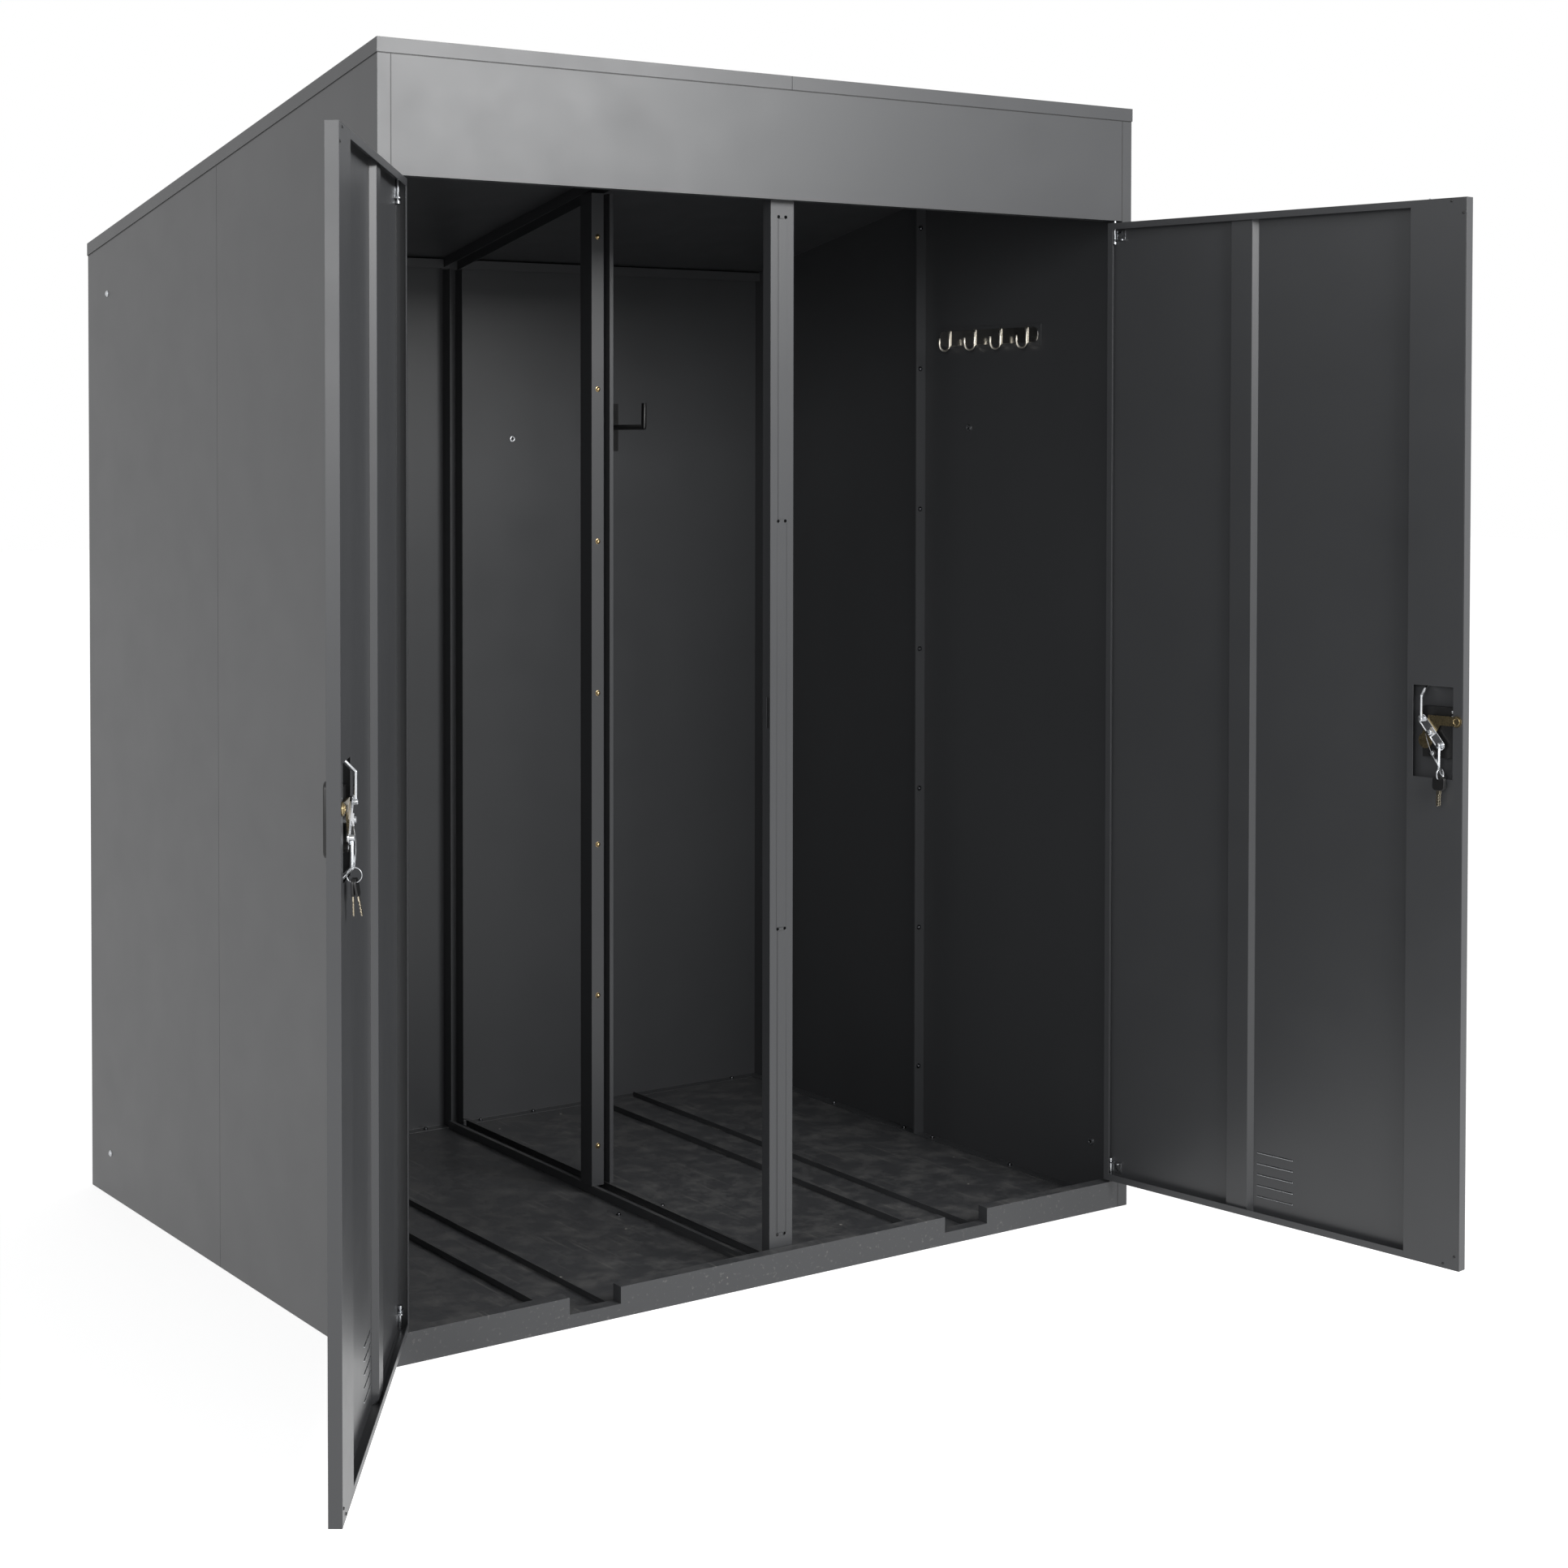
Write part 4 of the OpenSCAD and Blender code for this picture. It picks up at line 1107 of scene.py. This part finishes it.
def rail_plate(length, height, thick):
    """A polished plate as long as the rail."""
    return round_ended_plate((height, length, thick), corner=height * 0.42, steps=10, rim=0.4 * MM,
                             finish=stainless)


RAIL_PLATE_THICK, RAIL_PLATE_HEIGHT = 1.2 * MM, 33 * MM
RAIL_PLATE_TRIM = 16 * MM
COAT_HOOKS = 4
rail_low, rail_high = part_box("right_coat_rail")
rail_middle = (rail_low + rail_high) / 2
rail_length = rail_high.y - rail_low.y
plate_places = [Matrix.Translation((s * rail_low.x, rail_middle.y, rail_middle.z))
                @ Matrix.Rotation(-s * math.pi / 2, 4, "Y") for s in (-1, 1)]
set_out(rail_plate(rail_length - RAIL_PLATE_TRIM, RAIL_PLATE_HEIGHT, RAIL_PLATE_THICK), "coat_rail_plates",
        plate_places, "cabinet")
hook_step = rail_length / COAT_HOOKS
hook_places = [rail_low.y + hook_step * (i + 0.5) for i in range(COAT_HOOKS)]
strap_places = [facing(s * (rail_low.x - RAIL_PLATE_THICK), y, rail_middle.z, (-s, 0, 0))
                for s in (-1, 1) for y in hook_places]
set_out(hook_strap(width=9 * MM, height=38 * MM, thick=1.4 * MM), "coat_hook_straps", strap_places,
        "cabinet")

# %% [markdown]
# ## Louvre hoods
# No light shows through the vent slots, because each is covered outside by a pressed hood that opens
# downwards. A cylinder along the slot is cut to the quarter that stands out of the door above the slot. Its
# flat ends stay, its cut sides stay open, and Solidify gives it the sheet's thickness. Inside, the lower
# edge of each slot is rolled over and shows as a thin bright line. It is a slim rod with tapered ends, half
# sunk in the sheet. The rolled edge is real, and its bare zinc brightness is a painted highlight on it.

# %% Louvre hoods
LOUVRES, LOUVRE_PITCH = 5, 21 * MM
LOUVRE_START, LOUVRE_LENGTH = 357 * MM, 80 * MM
LOUVRE_RISE, LOUVRE_HEIGHT = 37 * MM, 3 * MM
HOOD_DEPTH, HOOD_DROP = 7 * MM, 4 * MM
HOOD_LENGTH, HOOD_SHEET = LOUVRE_LENGTH + 6 * MM, 1.2 * MM
ALONG_X = (0, math.pi / 2, 0)
LIP_RADIUS = 1.0 * MM
louvre_middle = panel_low.x + LOUVRE_START + LOUVRE_LENGTH / 2
louvre_feet = [panel_low.z + LOUVRE_RISE + i * LOUVRE_PITCH for i in range(LOUVRES)]


def louvre_hood():
    """A pressed hood along x, its back on y = 0, standing out to -y."""
    turned(HOOD_DEPTH, HOOD_LENGTH, -HOOD_LENGTH / 2, turn=ALONG_X)
    for way in (FRONT, UP):
        keep_side((0, 0, 0), way, fill=False)
    hood = done(coat)
    apply_modifier(hood, "SOLIDIFY", thickness=HOOD_SHEET, offset=-1)
    soften(hood, 0.4 * MM, angle=50)
    return hood


def louvre_lip_highlight():
    """The rolled lower edge of a slot, along x, in bright zinc as a painted highlight."""
    turned(LIP_RADIUS, LOUVRE_LENGTH, -LOUVRE_LENGTH / 2, sides=16, turn=ALONG_X)
    pick("FACE", lambda at, way: abs(way.x) > 0.9)
    bpy.ops.mesh.inset(thickness=LIP_RADIUS * 0.5, depth=LIP_RADIUS * 0.6)
    return done(zinc)


hood_lift = LOUVRE_HEIGHT / 2 - HOOD_DROP
on_doors(louvre_hood(), "louvre_hoods",
         [Matrix.Translation((louvre_middle, panel_low.y, z + hood_lift)) for z in louvre_feet])
lip_y = panel_low.y + SHEET
# Bare zinc lips: a painted highlight on each slot's rolled lower edge.
on_doors(louvre_lip_highlight(), "louvre_lip_highlights",
         [Matrix.Translation((louvre_middle, lip_y, z + LIP_RADIUS)) for z in louvre_feet])

# %% [markdown]
# ## Rivets in the door corners
# Small black rivets close the folds at the free corners of each door. They are the domes of the middle post
# again, smaller and black.

# %% Corner rivets
CORNER_RIVETS = ((772, 1974), (796, 1952), (793, 84), (770, 67))
on_doors(dome_head(across=4.6 * MM, height=1 * MM, finish=black_abs), "corner_rivets",
         [inside_door(panel_low.x + x * MM, panel_high.y, z * MM) for x, z in CORNER_RIVETS])

# %% [markdown]
# ## Painted seam shadows
# A thin dark line of shade runs under the roof's turned-down edge and at both ends of the panel over the
# doors, where the panels meet with a narrow gap. A black strip stands in that gap as painted shade. Each
# strip is a slim bar that is drawn between two points of the frame, so the ones along the sides follow the
# roof's fall.
# A dark line in the paint could show the shade too, but a strip is also there in the mesh.

# %% Painted seam shadows
SEAM_WIDTH = 1.7 * MM
SEAM_PROUD = 0.25 * MM
ROOF_TRIM = 25 * MM


def seam_shadow_strip(start, end, outward):
    """A slim black bar from start to end, a little proud of the face: painted shade in a seam."""
    begin()
    along = end - start
    bpy.ops.mesh.primitive_cube_add(size=1)
    strip = bpy.context.object
    pick("EDGE", lambda at, way: abs(way.x) > 0.9)
    bpy.ops.mesh.bevel(offset=0.12, segments=2)
    bpy.ops.object.mode_set(mode="OBJECT")
    across = Vector(outward).cross(along.normalized())
    turn = Matrix((along, across * SEAM_WIDTH, Vector(outward) * 2 * SEAM_PROUD)).transposed().to_4x4()
    strip.data.transform(Matrix.Translation((start + end) / 2) @ turn)
    return done(black_abs)


fascia_low, fascia_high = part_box("fascia")
roof_low, roof_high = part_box("roof_left")
front_y, rear_y = fascia_low.y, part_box("back_wall_left")[1].y
front_z = roof_high.z - ROOF_TRIM - SEAM_WIDTH / 2
rear_z = roof_low.z - SEAM_WIDTH / 2
runs = [((-side_out, front_y, front_z), (side_out, front_y, front_z), FRONT),
        ((-side_out, rear_y, rear_z), (side_out, rear_y, rear_z), REAR)]
runs += [((s * side_out, front_y, front_z), (s * side_out, rear_y, rear_z), (s, 0, 0)) for s in (-1, 1)]
runs += [((x, front_y, fascia_low.z), (x, front_y, front_z), FRONT) for x in (fascia_low.x, fascia_high.x)]
# The black strips are painted shade in the seams.
seams = [seam_shadow_strip(Vector(start), Vector(end), outward) for start, end, outward in runs]
painted_seam_shadows = joined(*seams)
painted_seam_shadows.name = "painted_seam_shadows"
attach(painted_seam_shadows, "cabinet")
print("panel seams:", len(seams))
